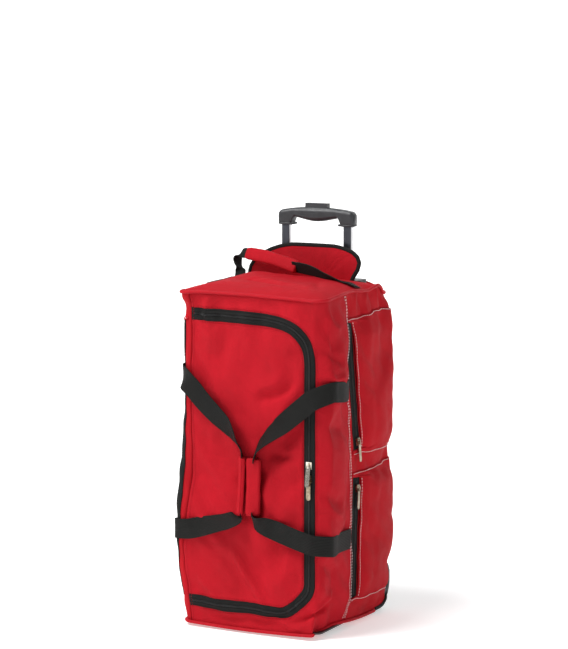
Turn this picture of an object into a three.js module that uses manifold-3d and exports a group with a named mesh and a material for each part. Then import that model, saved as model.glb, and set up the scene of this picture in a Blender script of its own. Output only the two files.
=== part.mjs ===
// Rolling duffel bag: soft body with end panels, zipped lid and side pockets, a two-stage
// trolley handle, two wheels, and carrying handles.
// Millimetres. +Z up, +X to the bag's right, -Y its front. The bag stands on z = 0.

import * as THREE from "three";
import { mergeVertices } from "three/addons/utils/BufferGeometryUtils.js";
import Module from "manifold-3d";

// ---------------------------------------------------------------- driving dimensions

// Soft body
const BODY_WIDTH = 305;
const BODY_DEPTH = 316;
const BODY_HEIGHT = 660;
const GROUND_GAP = 9;
const PANEL = 3;
const CORNER_R = 18;
const GAP = 0.3;
const PIPING_R = 3.3;

// Seams: how far the front fabric runs round the right corner, and the lid's hinge line
const RIGHT_SEAM_FROM_FRONT = 128;
const LEFT_SEAM_PAST_CORNER = 1.5;
const BACK_SEAM_PAST_CORNER = 13.5;

// Lid and its zip
const ZIP_TAPE = 24;
const ZIP_MARGIN_RIGHT = 11.5;
const ZIP_MARGIN_TOP = 33;
const ZIP_MARGIN_BOTTOM = 35;
const ZIP_CORNER_TOP = 62;
const ZIP_CORNER_BOTTOM = 60;

// Side pockets
const POCKET_PROUD = 12;
const POCKET_TAPE = 26;
const POCKET_TAPE_T = 2.4;
const POCKET_TAPE_SPACE = 1.5;
const POCKET_REAR_INSET = 8;
const POCKET_BELOW_TOP = 50;
const POCKET_SPLIT = 318;
const UPPER_POCKET = {
  bottom: POCKET_SPLIT + 16, top: BODY_HEIGHT - POCKET_BELOW_TOP,
  zipBottom: POCKET_SPLIT + 27, zipTop: BODY_HEIGHT - POCKET_BELOW_TOP - 6,
  right: { yBottom: 158, yTop: 118 }, left: { yBottom: 31, yTop: 14 },
};
const LOWER_POCKET = {
  bottom: 41, top: POCKET_SPLIT - 16, zipBottom: 47, zipTop: POCKET_SPLIT - 28,
  right: { yBottom: 142, yTop: 156 }, left: { yBottom: 33, yTop: 44 },
};

// Zip sliders
const SLIDER_W = 12;
const SLIDER_L = 14;
const SLIDER_T = 3.4;
const BRIDGE_W = 2.4;
const BRIDGE_RISE = 3.6;
const BRIDGE_WALL = 1.2;
const PULLER_L = 42;
const PULLER_W = 9;
const PULLER_T = 1.4;
const PULLER_HEAD = 3.2;
const EYE = { half: 2, reach: 6.4 };
const PULLER_NECK = 6;
const BRIDGE_INSET = 2;
const BRIDGE_FOOT = 1.6;
const MAIN_SLIDER_Z = [337, 311];
const UPPER_PULLER_LEAN = 10;
const UPPER_SLIDER_Z = 362;
const LOWER_SLIDER_Z = 268;

// Trolley handle
const TUBE_SPACING = 140;
const TUBE_FROM_BACK = 28;
const INNER_TUBE = { w: 20, d: 13 };
const TUBE_WALL = 1.2;
const TUBE_CLEAR = 0.4;
const TUBE_CORNER = 4;
const RAISE = 100;
const MID_PROUD = 4;
const SOCKET_SPACE = 1;
const TUBE_SHOE = 31;
const SHOE_DEPTH = 20;
const SHOE_WALL = { x: 6, y: 4 };
const SHOE_WAIST = 24;
const MID_REST = 10;
const INNER_REST = 20;
const PIN_ABOVE_END = 8;
const BEZEL_W = 208;
const BEZEL_D = 44;
const BEZEL_T = 6.7;
const BEZEL_SKIRT = 26;
const BEZEL_CORNER = 12;
const BEZEL_LAP = { x: 6, y: 3 };
const GRIP_W = 176;
const GRIP_D = 26;
const SOCKET_W = 36;
const SOCKET_SEAT = 12;
const BAR_UNDER = 13;
const BAR_ARCH = 5;
const GRIP_SHOULDER = 6;
const GRIP_CORNER = 14;
const GRIP_RISE = 43;
const BUTTON = { w: 50, d: 12, proud: 3.5 };
const BUTTON_TRAVEL = 4;
const ROD = 5;
const ROD_SPACE = 1;
const YOKE_BELOW_TOP = 20;
const YOKE_D = 6;
const YOKE_T = 4;
const PIN_R = 2.5;

// Trolley flap
const FLAP_W = 240;
const FLAP_H = 74;
const FLAP_T = 3;
const FLAP_CORNER = 40;
const FLAP_SPACE = 3;

// Wheels and their housings
const WHEEL_R = 32;
const WHEEL_W = 26;
const WHEEL_FROM_BACK = 30;
const WHEEL_SIDE_SPACE = 3;
const CHEEK = 10;
const WELL_SPACE = 3;
const AXLE_R = 4;
const AXLE_CLEAR = 0.3;
const HOUSING_R = 54;
const HOUSING_RISE = 83;
const HOUSING_PROUD = 8;
const HOUSING_DROP = 3;
const FABRIC_SET_BACK = 6;
const AXLE_END = 3;
const HUB = { inner: 12, dish: 14, web: 20, rim: 22, step: 3, sink: 6 };
const TREAD = { bevel: 5, round: 1.5, shoulder: 8 };
const HOUSING_FRONT_WALL = 7;

// Feet and boards
const FOOT = { w: 220, d: 20, fromFront: 24 };
const BOARD = 3;
const BOARD_SPACE = 1;
const LINING_MARGIN = 3;
const LINING = 1.5;

// How far a cutter runs past what it cuts
const PAST = 10;

// Webbing handles
const WEBBING = 40;
const WEBBING_T = 2.4;
const STRAP_STAND_OFF = 15;
const STRAP_HINGE_OUT = 4.5;
const GRIP_FOLD = 22;
const SLEEVE_WALL = 2.6;
const SLEEVE_T = 12;
const FRONT_GRIP_TOP = 345;
const FRONT_GRIP_BOTTOM = 228;
const FRONT_GRIP_SPACE = 3;
const STRAP_UPPER_Z = 476;
const STRAP_LOWER_Z = 192;
const STRAP_FOLD = 14;
const SLEEVE_SHORT = 2;
const TOP_HANDLE = {
  half: 148, y: -4, lift: 3, reach: 97, tilt: 12, width: 24, midReach: 50,
  elbowShare: 0.4, elbowReach: 36, turn: 6, bulge: 4, turnDrop: 14, sleeveEnds: 8, sleeveCorner: 3,
};

// ---------------------------------------------------------------- derived places

const HALF_W = BODY_WIDTH / 2;
const FRONT = -BODY_DEPTH / 2;
const BACK = BODY_DEPTH / 2;
const BASE = GROUND_GAP;
const TOP = BASE + BODY_HEIGHT;
const WALL_BOTTOM = BASE + PANEL + GAP;
const WALL_TOP = TOP - PANEL - GAP;
const LEFT_SEAM_X = -HALF_W + CORNER_R + LEFT_SEAM_PAST_CORNER;
const RIGHT_SEAM_Y = FRONT + RIGHT_SEAM_FROM_FRONT;
const BACK_SEAM_X = HALF_W - CORNER_R - BACK_SEAM_PAST_CORNER;
const TUBE_X = TUBE_SPACING / 2;
const TUBE_Y = BACK - TUBE_FROM_BACK;
const BOARD_TOP = BASE + PANEL + GAP + BOARD;
const MID_TUBE = widened(INNER_TUBE, TUBE_WALL + TUBE_CLEAR);
const OUTER_TUBE = widened(MID_TUBE, TUBE_WALL + TUBE_CLEAR);
const BEZEL_BOTTOM = TOP + GAP;
const BEZEL_TOP = BEZEL_BOTTOM + BEZEL_T;
const TUBE_BOTTOM = BASE + TUBE_SHOE;
const MID_TOP = BEZEL_TOP + MID_PROUD;
const SOCKET_Z = MID_TOP + SOCKET_SPACE + RAISE;
const GRIP_TOP = SOCKET_Z + GRIP_RISE;
const WHEEL_Y = BACK - WHEEL_FROM_BACK;
const HOUSING_OUT = HALF_W - PANEL - GAP;
const WHEEL_X = HOUSING_OUT - CHEEK - WHEEL_SIDE_SPACE - WHEEL_W / 2;
const HOUSING_IN = WHEEL_X - WHEEL_W / 2 - WHEEL_SIDE_SPACE - CHEEK;
const HOUSING_FRONT = WHEEL_Y - WHEEL_R - WELL_SPACE - HOUSING_FRONT_WALL;
const HOUSING_TOP = BASE + HOUSING_RISE;
const HOUSING_BACK = BACK + HOUSING_PROUD;
const HOUSING_BOTTOM = BASE - HOUSING_DROP;
const STRAP_Y = FRONT - STRAP_STAND_OFF;
const HINGE_X = HALF_W + STRAP_HINGE_OUT;

const RED = "#c2202f";
const DARK_RED = "#a81c2a";
const BLACK = "#161616";
const PLASTIC = "#1b1c1e";
const NICKEL = "#a39d92";
const BRONZE = "#5f5648";
const TUBE_GREY = "#565c66";

const FABRIC_LOOK = { roughness: 0.85, metalness: 0 };
const WEB_LOOK = { roughness: 0.8, metalness: 0 };
const PLASTIC_LOOK = { roughness: 0.45, metalness: 0 };
const METAL_LOOK = { roughness: 0.3, metalness: 1 };

// ---------------------------------------------------------------- helpers

const wasm = await Module();
wasm.setup();

function widened(tube, by) {
  return { w: tube.w + 2 * by, d: tube.d + 2 * by };
}

// A closed geometry as a manifold-3d solid.
function solid(geometry) {
  const bare = geometry.clone();
  bare.deleteAttribute("normal");
  bare.deleteAttribute("uv");
  const merged = mergeVertices(bare, 1e-4);
  const vertProperties = new Float32Array(merged.attributes.position.array);
  const triVerts = new Uint32Array(merged.index.array);
  return new wasm.Manifold(new wasm.Mesh({ numProp: 3, vertProperties, triVerts }));
}

// A manifold-3d solid as a flat-shaded geometry.
function geometryOf(body) {
  const mesh = body.getMesh();
  const geometry = new THREE.BufferGeometry();
  const corners = new Float32Array(mesh.vertProperties);
  geometry.setAttribute("position", new THREE.BufferAttribute(corners, 3));
  geometry.setIndex(new THREE.BufferAttribute(new Uint32Array(mesh.triVerts), 1));
  const flat = geometry.toNonIndexed();
  flat.computeVertexNormals();
  return flat;
}

// The first geometry with the others cut away.
function cut(geometry, ...cutters) {
  return geometryOf(cutters.reduce((body, cutter) => body.subtract(solid(cutter)), solid(geometry)));
}

function join(...geometries) {
  return geometryOf(geometries.map(solid).reduce((body, other) => body.add(other)));
}

// An outline's points without the doubles where lines meet arcs.
function cleaned(points) {
  return points.filter((p, i) => p.distanceTo(points[(i + 1) % points.length]) > 1e-3);
}

function extrude(shape, depth) {
  const outline = shape.extractPoints(8);
  const clean = new THREE.Shape(cleaned(outline.shape));
  clean.holes = outline.holes.map((hole) => new THREE.Path(cleaned(hole)));
  return new THREE.ExtrudeGeometry(clean, { depth, bevelEnabled: false });
}

// A shape drawn in X and Y, standing from z0 to z1.
function alongZ(shape, z0, z1) {
  return extrude(shape, z1 - z0).translate(0, 0, z0);
}

// A shape drawn in X and Z, running from y0 to y1.
function alongY(shape, y0, y1) {
  return extrude(shape, y1 - y0).rotateX(Math.PI / 2).translate(0, y1, 0);
}

// A shape drawn in Y and Z, running from x0 to x1.
function alongX(shape, x0, x1) {
  const turn = new THREE.Matrix4().set(0, 0, 1, 0, 1, 0, 0, 0, 0, 1, 0, 0, 0, 0, 0, 1);
  return extrude(shape, x1 - x0).applyMatrix4(turn).translate(x0, 0, 0);
}

function box(x0, x1, y0, y1, z0, z1) {
  const geometry = new THREE.BoxGeometry(x1 - x0, y1 - y0, z1 - z0);
  return geometry.translate((x0 + x1) / 2, (y0 + y1) / 2, (z0 + z1) / 2);
}

// A rod of radius r along X, Y or Z.
function rod(axis, r, from, to, u, v, sides = 20) {
  const geometry = new THREE.CylinderGeometry(r, r, to - from, sides);
  const middle = (from + to) / 2;
  if (axis === "x") return geometry.rotateZ(Math.PI / 2).translate(middle, u, v);
  if (axis === "z") return geometry.rotateX(Math.PI / 2).translate(u, v, middle);
  return geometry.translate(u, middle, v);
}

// A rectangle with round corners, centred on (cx, cy).
function roundRect(w, h, r, cx = 0, cy = 0) {
  const shape = new THREE.Shape();
  const x = cx - w / 2;
  const y = cy - h / 2;
  shape.moveTo(x + r, y);
  shape.lineTo(x + w - r, y);
  shape.absarc(x + w - r, y + r, r, -Math.PI / 2, 0);
  shape.lineTo(x + w, y + h - r);
  shape.absarc(x + w - r, y + h - r, r, 0, Math.PI / 2);
  shape.lineTo(x + r, y + h);
  shape.absarc(x + r, y + h - r, r, Math.PI / 2, Math.PI);
  shape.lineTo(x, y + r);
  shape.absarc(x + r, y + r, r, Math.PI, Math.PI * 1.5);
  return shape;
}

// Points along a line of left-hand right-angle corners, each corner an arc, moved inward.
function roundedLine(corners, radius, inward, steps = 6) {
  const points = [];
  const last = corners.length - 1;
  corners.forEach((corner, i) => {
    const before = corners[Math.max(i - 1, 0)];
    const way = i === 0 ? corners[1].clone().sub(corner) : corner.clone().sub(before);
    way.normalize();
    const left = new THREE.Vector2(-way.y, way.x);
    if (i === 0 || i === last) {
      points.push(corner.clone().addScaledVector(left, inward));
      return;
    }
    const centre = corner.clone().addScaledVector(way, -radius).addScaledVector(left, radius);
    const start = Math.atan2(-left.y, -left.x);
    for (let k = 0; k <= steps; k += 1) {
      const angle = start + (k / steps) * (Math.PI / 2);
      const r = radius - inward;
      points.push(new THREE.Vector2(centre.x + r * Math.cos(angle), centre.y + r * Math.sin(angle)));
    }
  });
  return points;
}

// A fabric wall of panel thickness, drawn from above along its outer corners.
function wall(corners) {
  const line = corners.map(([x, y]) => new THREE.Vector2(x, y));
  const outer = roundedLine(line, CORNER_R, 0);
  const inner = roundedLine(line, CORNER_R, PANEL).reverse();
  return alongZ(new THREE.Shape([...outer, ...inner]), WALL_BOTTOM, WALL_TOP);
}

// A path through given points, with one extrusion step from each to the next.
class PointPath extends THREE.Curve {
  constructor(points) {
    super();
    this.points = points;
  }
  getPoint(t) {
    const at = Math.min(Math.max(t, 0), 1) * (this.points.length - 1);
    const i = Math.min(Math.floor(at), this.points.length - 2);
    return this.points[i].clone().lerp(this.points[i + 1], at - i);
  }
  getPointAt(u) {
    return this.getPoint(u);
  }
  getTangentAt(u) {
    return this.getTangent(u);
  }
}

// A round cord of the piping's radius through points at one height.
function pipingAlong(points, z) {
  const circle = new THREE.Shape();
  circle.absarc(0, 0, PIPING_R, 0, Math.PI * 2);
  const path = new PointPath(points.map((p) => new THREE.Vector3(p.x, p.y, z)));
  const options = { steps: points.length - 1, extrudePath: path, curveSegments: 4 };
  return new THREE.ExtrudeGeometry(circle, options);
}

// A flat band that follows a line with a half width at each point.
function band(line, halves) {
  const left = [];
  const right = [];
  line.forEach((p, i) => {
    const before = line[Math.max(i - 1, 0)];
    const after = line[Math.min(i + 1, line.length - 1)];
    const way = new THREE.Vector2(after[0] - before[0], after[1] - before[1]).normalize();
    left.push(new THREE.Vector2(p[0] - way.y * halves[i], p[1] + way.x * halves[i]));
    right.push(new THREE.Vector2(p[0] + way.y * halves[i], p[1] - way.x * halves[i]));
  });
  return new THREE.Shape([...left, ...right.reverse()]);
}

const bag = new THREE.Group();

function add(name, geometry, color, look, parent = bag) {
  const mesh = new THREE.Mesh(geometry, new THREE.MeshStandardMaterial({ color, ...look }));
  mesh.name = name;
  parent.add(mesh);
  return mesh;
}

// ---------------------------------------------------------------- lid and main zip

const LID = {
  right: HALF_W - ZIP_MARGIN_RIGHT,
  bottom: BASE + ZIP_MARGIN_BOTTOM,
  top: TOP - ZIP_MARGIN_TOP,
};

// The lid's outline in X and Z, with its round corners on the right, moved inward.
function lidOutline(inward, left = LEFT_SEAM_X) {
  const right = LID.right - inward;
  const bottom = LID.bottom + inward;
  const top = LID.top - inward;
  const rb = ZIP_CORNER_BOTTOM - inward;
  const rt = ZIP_CORNER_TOP - inward;
  const shape = new THREE.Shape();
  shape.moveTo(left, bottom);
  shape.lineTo(right - rb, bottom);
  shape.absarc(right - rb, bottom + rb, rb, -Math.PI / 2, 0);
  shape.lineTo(right, top - rt);
  shape.absarc(right - rt, top - rt, rt, 0, Math.PI / 2);
  shape.lineTo(left, top);
  return shape;
}

function addLid() {
  const past = LEFT_SEAM_X - 1;
  const zip = cut(
    alongY(lidOutline(0), FRONT, FRONT + PANEL),
    alongY(lidOutline(ZIP_TAPE, past), FRONT - 1, FRONT + PANEL + 1),
  );
  add("main_zip", zip, BLACK, WEB_LOOK);
  add("lid_panel", alongY(lidOutline(ZIP_TAPE + GAP), FRONT, FRONT + PANEL), RED, FABRIC_LOOK);
}

// ---------------------------------------------------------------- wheel housings

// The corner guard's outline in Y and Z, moved outward.
function guardOutline(outward) {
  const cy = HOUSING_BACK - HOUSING_R;
  const cz = HOUSING_BOTTOM + HOUSING_R;
  const r = HOUSING_R + outward;
  const shape = new THREE.Shape();
  shape.moveTo(HOUSING_FRONT - outward, HOUSING_BOTTOM - outward);
  shape.lineTo(cy, HOUSING_BOTTOM - outward);
  shape.absarc(cy, cz, r, -Math.PI / 2, 0);
  shape.lineTo(HOUSING_BACK + outward, HOUSING_TOP - 2 * HOUSING_PROUD);
  shape.lineTo(BACK + outward, HOUSING_TOP + outward);
  shape.lineTo(HOUSING_FRONT - outward, HOUSING_TOP + outward);
  return shape;
}

// What the housing takes out of the fabric and boards on one side (side is 1 right, -1 left).
function housingRoom(side) {
  const x = [side * (HOUSING_IN - GAP), side * (HOUSING_OUT + GAP / 2)].sort((a, b) => a - b);
  return alongX(guardOutline(GAP), x[0], x[1]);
}

// The round that trims the side fabric back from the guard's edge.
function cornerTrim(side) {
  const cy = HOUSING_BACK - HOUSING_R;
  const cz = HOUSING_BOTTOM + HOUSING_R;
  const r = HOUSING_R - FABRIC_SET_BACK;
  const shape = new THREE.Shape();
  shape.moveTo(cy, BASE - PAST);
  shape.lineTo(HOUSING_BACK + PAST, BASE - PAST);
  shape.lineTo(HOUSING_BACK + PAST, HOUSING_TOP);
  shape.lineTo(HOUSING_BACK - FABRIC_SET_BACK - PANEL, HOUSING_TOP);
  shape.lineTo(cy + r, cz);
  shape.absarc(cy, cz, r, 0, -Math.PI / 2, true);
  const inner = HOUSING_IN - GAP;
  const x = [side * inner, side * (HALF_W + PAST)].sort((a, b) => a - b);
  return alongX(shape, x[0], x[1]);
}

function addWheels() {
  for (const [name, side] of [["left", -1], ["right", 1]]) {
    const x = [side * HOUSING_IN, side * HOUSING_OUT].sort((a, b) => a - b);
    const centre = side * WHEEL_X;
    const wellHalf = WHEEL_W / 2 + WHEEL_SIDE_SPACE;
    const housing = cut(
      alongX(guardOutline(0), x[0], x[1]),
      rod("x", WHEEL_R + WELL_SPACE, centre - wellHalf, centre + wellHalf, WHEEL_Y, WHEEL_R, 32),
      rod("x", AXLE_R + AXLE_CLEAR, x[0] + AXLE_END - 1, x[1] - AXLE_END + 1, WHEEL_Y, WHEEL_R),
    );
    add("wheel_housing_" + name, housing, PLASTIC, PLASTIC_LOOK);
    const axle = rod("x", AXLE_R, x[0] + AXLE_END, x[1] - AXLE_END, WHEEL_Y, WHEEL_R);
    add("axle_" + name, axle, NICKEL, METAL_LOOK);

    const bore = AXLE_R + AXLE_CLEAR;
    const h = WHEEL_W / 2;
    const half = [
      [bore, HUB.step], [HUB.inner, HUB.step], [HUB.dish, HUB.sink], [HUB.web, HUB.sink], [HUB.rim, 2],
      [WHEEL_R - TREAD.bevel, 0], [WHEEL_R - TREAD.round, HUB.step], [WHEEL_R, TREAD.shoulder],
    ];
    const profile = [
      ...half.map(([r, v]) => [r, v - h]), ...half.map(([r, v]) => [r, h - v]).reverse(),
      [bore, HUB.step - h],
    ].map(([r, v]) => new THREE.Vector2(r, v));
    const wheel = new THREE.LatheGeometry(profile, 28);
    wheel.rotateZ(Math.PI / 2).translate(centre, WHEEL_Y, WHEEL_R);
    add("wheel_" + name, wheel, BLACK, PLASTIC_LOOK);
  }
}

// ---------------------------------------------------------------- fabric body

function addBody() {
  const opening = alongY(lidOutline(-GAP, LEFT_SEAM_X - 1), FRONT - 1, FRONT + PANEL + 1);
  const front = wall([[LEFT_SEAM_X, FRONT], [HALF_W, FRONT], [HALF_W, RIGHT_SEAM_Y]]);
  add("front_panel", cut(front, opening), RED, FABRIC_LOOK);

  const right = wall([[HALF_W, RIGHT_SEAM_Y + GAP], [HALF_W, BACK], [BACK_SEAM_X, BACK]]);
  add("right_side_panel", cut(right, housingRoom(1), cornerTrim(1)), DARK_RED, FABRIC_LOOK);

  const left = wall([
    [-BACK_SEAM_X, BACK], [-HALF_W, BACK], [-HALF_W, FRONT], [LEFT_SEAM_X - GAP, FRONT],
  ]);
  add("left_side_panel", cut(left, housingRoom(-1), cornerTrim(-1)), DARK_RED, FABRIC_LOOK);

  const corners = [cornerTrim(1), cornerTrim(-1), housingRoom(1), housingRoom(-1)];
  const inner = BACK_SEAM_X - GAP;
  const back = box(-inner, inner, BACK - PANEL, BACK, WALL_BOTTOM, WALL_TOP);
  add("back_panel", cut(back, ...corners), BLACK, FABRIC_LOOK);

  const plan = roundRect(BODY_WIDTH, BODY_DEPTH, CORNER_R);
  const slotHalf = BEZEL_W / 2 - BEZEL_LAP.x;
  const slotDepth = BEZEL_D / 2 - BEZEL_LAP.y;
  const slot = box(-slotHalf, slotHalf, TUBE_Y - slotDepth, TUBE_Y + slotDepth, TOP - PANEL - 1, TOP + 1);
  add("top_end_panel", cut(alongZ(plan, TOP - PANEL, TOP), slot), RED, FABRIC_LOOK);

  add("bottom_end_panel", cut(alongZ(plan, BASE, BASE + PANEL), ...corners), RED, FABRIC_LOOK);

  const boardIn = 2 * (PANEL + BOARD_SPACE);
  const boardPlan = roundRect(BODY_WIDTH - boardIn, BODY_DEPTH - boardIn, CORNER_R - PANEL);
  const board = alongZ(boardPlan, BOARD_TOP - BOARD, BOARD_TOP);
  add("base_board", cut(board, ...corners), BLACK, PLASTIC_LOOK);

  const liningY = TUBE_Y - BEZEL_D / 2;
  const liningHalf = HALF_W - PANEL - LINING_MARGIN;
  const lining = box(-liningHalf, liningHalf, liningY - LINING, liningY,
    HOUSING_TOP + LINING_MARGIN, WALL_TOP - LINING_MARGIN);
  add("tube_cover_lining", lining, BLACK, FABRIC_LOOK);

  const out = PIPING_R + GAP;
  const ring = roundedLine(
    [[0, BACK], [-HALF_W, BACK], [-HALF_W, FRONT], [HALF_W, FRONT], [HALF_W, BACK], [0.5, BACK]]
      .map(([x, y]) => new THREE.Vector2(x, y)), CORNER_R, -out);
  add("top_piping", pipingAlong(ring, TOP - PIPING_R / 2), DARK_RED, FABRIC_LOOK);

  const rear = HOUSING_FRONT - 4;
  const skirt = roundedLine(
    [[-HALF_W, rear], [-HALF_W, FRONT], [HALF_W, FRONT], [HALF_W, rear]]
      .map(([x, y]) => new THREE.Vector2(x, y)), CORNER_R, -out);
  add("bottom_piping", pipingAlong(skirt, BASE + PIPING_R / 2), DARK_RED, FABRIC_LOOK);

  const footFront = FRONT + FOOT.fromFront;
  const footPlan = roundRect(FOOT.w, FOOT.d, FOOT.d / 2 - 1, 0, footFront + FOOT.d / 2);
  add("front_foot", alongZ(footPlan, 0, BASE - GAP), PLASTIC, PLASTIC_LOOK);
}

// ---------------------------------------------------------------- zip sliders and pullers

// A slider in its own frame: x across the zip, z along it, -y out of the bag, tape face at y = 0.
function sliderGeometry() {
  const base = box(-SLIDER_W / 2, SLIDER_W / 2, -SLIDER_T - GAP, -GAP, -SLIDER_L / 2, SLIDER_L / 2);
  const face = -SLIDER_T - GAP;
  const half = SLIDER_L / 2 - BRIDGE_INSET;
  const arch = box(-BRIDGE_W / 2, BRIDGE_W / 2, face - BRIDGE_RISE, face + 1, -half, half);
  const inside = half - BRIDGE_FOOT;
  const window = box(-BRIDGE_W, BRIDGE_W, face - BRIDGE_RISE + BRIDGE_WALL, face, -inside, inside);
  return join(base, cut(arch, window));
}

// Where the puller's bar turns, in the slider's frame.
const PULL_Y = -SLIDER_T - GAP - (BRIDGE_RISE - BRIDGE_WALL) / 2;

// A puller hanging from the bar that it turns on, with its eye round the slider's bridge.
function pullerGeometry() {
  const plate = new THREE.Shape();
  const half = PULLER_W / 2;
  const tip = -PULLER_L + half;
  const head = PULLER_T / 2;
  plate.moveTo(-PULLER_HEAD, head);
  plate.lineTo(-half, -PULLER_NECK);
  plate.lineTo(-half, tip);
  plate.absarc(0, tip, half, Math.PI, Math.PI * 2);
  plate.lineTo(half, -PULLER_NECK);
  plate.lineTo(PULLER_HEAD, head);
  const eye = new THREE.Path();
  eye.moveTo(-EYE.half, -head);
  eye.lineTo(-EYE.half, -EYE.reach);
  eye.lineTo(EYE.half, -EYE.reach);
  eye.lineTo(EYE.half, -head);
  plate.holes.push(eye);
  return alongY(plate, -PULLER_T / 2, PULLER_T / 2);
}

// One slider and its puller, set on a zip: turn faces it outward, lean tilts it along the zip,
// and swing is how many degrees the puller stands away from the zip.
function addSlider(name, place, turn, lean, color, swing = 0) {
  const seat = new THREE.Group();
  seat.position.set(...place);
  seat.rotation.set(0, 0, turn);
  const tilt = new THREE.Group();
  tilt.rotation.set(0, lean, 0);
  seat.add(tilt);
  bag.add(seat);
  add("slider_" + name, sliderGeometry(), color, METAL_LOOK, tilt);
  const puller = add("puller_" + name, pullerGeometry(), color, METAL_LOOK, tilt);
  puller.position.y = PULL_Y;
  puller.rotation.x = -THREE.MathUtils.degToRad(swing);
}

function addMainSliders() {
  const x = LID.right - ZIP_TAPE / 2;
  addSlider("main_upper", [x, FRONT, BASE + MAIN_SLIDER_Z[0]], 0, 0, NICKEL, UPPER_PULLER_LEAN);
  addSlider("main_lower", [x, FRONT, BASE + MAIN_SLIDER_Z[1]], 0, 0, BRONZE);
}

// ---------------------------------------------------------------- side pockets

// The pocket zip's centre line on a side: its depth from the front at a height over the base.
function zipLine(pocket, ends) {
  const slope = (ends.yTop - ends.yBottom) / (pocket.zipTop - pocket.zipBottom);
  return { slope, at: (z) => FRONT + ends.yBottom + slope * (z - pocket.zipBottom) };
}

function addPocket(level, pocket, sliderZ, sideName, side) {
  const line = zipLine(pocket, side > 0 ? pocket.right : pocket.left);
  const face = HALF_W + GAP;
  const rear = BACK - POCKET_REAR_INSET;
  const half = POCKET_TAPE / 2;
  const tape = new THREE.Shape();
  tape.moveTo(line.at(pocket.zipBottom) - half, BASE + pocket.zipBottom);
  tape.lineTo(line.at(pocket.zipBottom) + half, BASE + pocket.zipBottom);
  tape.lineTo(line.at(pocket.zipTop) + half, BASE + pocket.zipTop);
  tape.lineTo(line.at(pocket.zipTop) - half, BASE + pocket.zipTop);
  const edge = half + POCKET_TAPE_SPACE;
  const pouch = new THREE.Shape();
  pouch.moveTo(line.at(pocket.bottom) + edge, BASE + pocket.bottom);
  pouch.lineTo(rear, BASE + pocket.bottom);
  pouch.lineTo(rear, BASE + pocket.top);
  pouch.lineTo(line.at(pocket.top) + edge, BASE + pocket.top);
  const spans = [[tape, POCKET_TAPE_T], [pouch, POCKET_PROUD]].map(([shape, thick]) => {
    const x = [side * face, side * (face + thick)].sort((a, b) => a - b);
    return alongX(shape, x[0], x[1]);
  });
  add(level + "_zip_" + sideName, spans[0], BLACK, WEB_LOOK);
  add(level + "_pocket_" + sideName, spans[1], DARK_RED, FABRIC_LOOK);
  const lean = Math.atan(line.slope) * side;
  const x = side * (face + POCKET_TAPE_T);
  const place = [x, line.at(sliderZ), BASE + sliderZ];
  addSlider(level + "_" + sideName, place, (side * Math.PI) / 2, lean, BRONZE);
}

function addPockets() {
  for (const [name, side] of [["left", -1], ["right", 1]]) {
    addPocket("upper", UPPER_POCKET, UPPER_SLIDER_Z, name, side);
    addPocket("lower", LOWER_POCKET, LOWER_SLIDER_Z, name, side);
  }
}

// ---------------------------------------------------------------- trolley handle

function tubeShape(tube, x) {
  const shape = roundRect(tube.w, tube.d, TUBE_CORNER, x, TUBE_Y);
  shape.holes.push(
    roundRect(tube.w - 2 * TUBE_WALL, tube.d - 2 * TUBE_WALL, TUBE_CORNER - TUBE_WALL, x, TUBE_Y),
  );
  return shape;
}

function tubeRoom(tube, x, z0, z1) {
  const by = 2 * TUBE_CLEAR;
  return alongZ(roundRect(tube.w + by, tube.d + by, TUBE_CORNER, x, TUBE_Y), z0, z1);
}

const OUTER_TOP = TOP - 1;
const INNER_TOP = SOCKET_Z + SOCKET_SEAT;
const INNER_BOTTOM = TUBE_BOTTOM + INNER_REST + RAISE;
const PIN_Z = INNER_BOTTOM + PIN_ABOVE_END;
const YOKE_BOTTOM = GRIP_TOP - YOKE_BELOW_TOP;

function addTubes() {
  for (const [name, side] of [["left", -1], ["right", 1]]) {
    const x = side * TUBE_X;
    add("outer_tube_" + name, alongZ(tubeShape(OUTER_TUBE, x), TUBE_BOTTOM + GAP, OUTER_TOP),
      TUBE_GREY, METAL_LOOK);
    add("mid_tube_" + name, alongZ(tubeShape(MID_TUBE, x), TUBE_BOTTOM + MID_REST, MID_TOP),
      TUBE_GREY, METAL_LOOK);
    const pinHole = rod("y", PIN_R + 0.5, TUBE_Y, TUBE_Y + INNER_TUBE.d, x, PIN_Z);
    const inner = alongZ(tubeShape(INNER_TUBE, x), INNER_BOTTOM, INNER_TOP - GAP);
    add("inner_tube_" + name, cut(inner, pinHole), TUBE_GREY, METAL_LOOK);
    const pinEnd = TUBE_Y + INNER_TUBE.d / 2 - 0.1;
    add("lock_pin_" + name, rod("y", PIN_R, TUBE_Y + 0.5, pinEnd, x, PIN_Z, 16), NICKEL, METAL_LOOK);
  }
}

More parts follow.
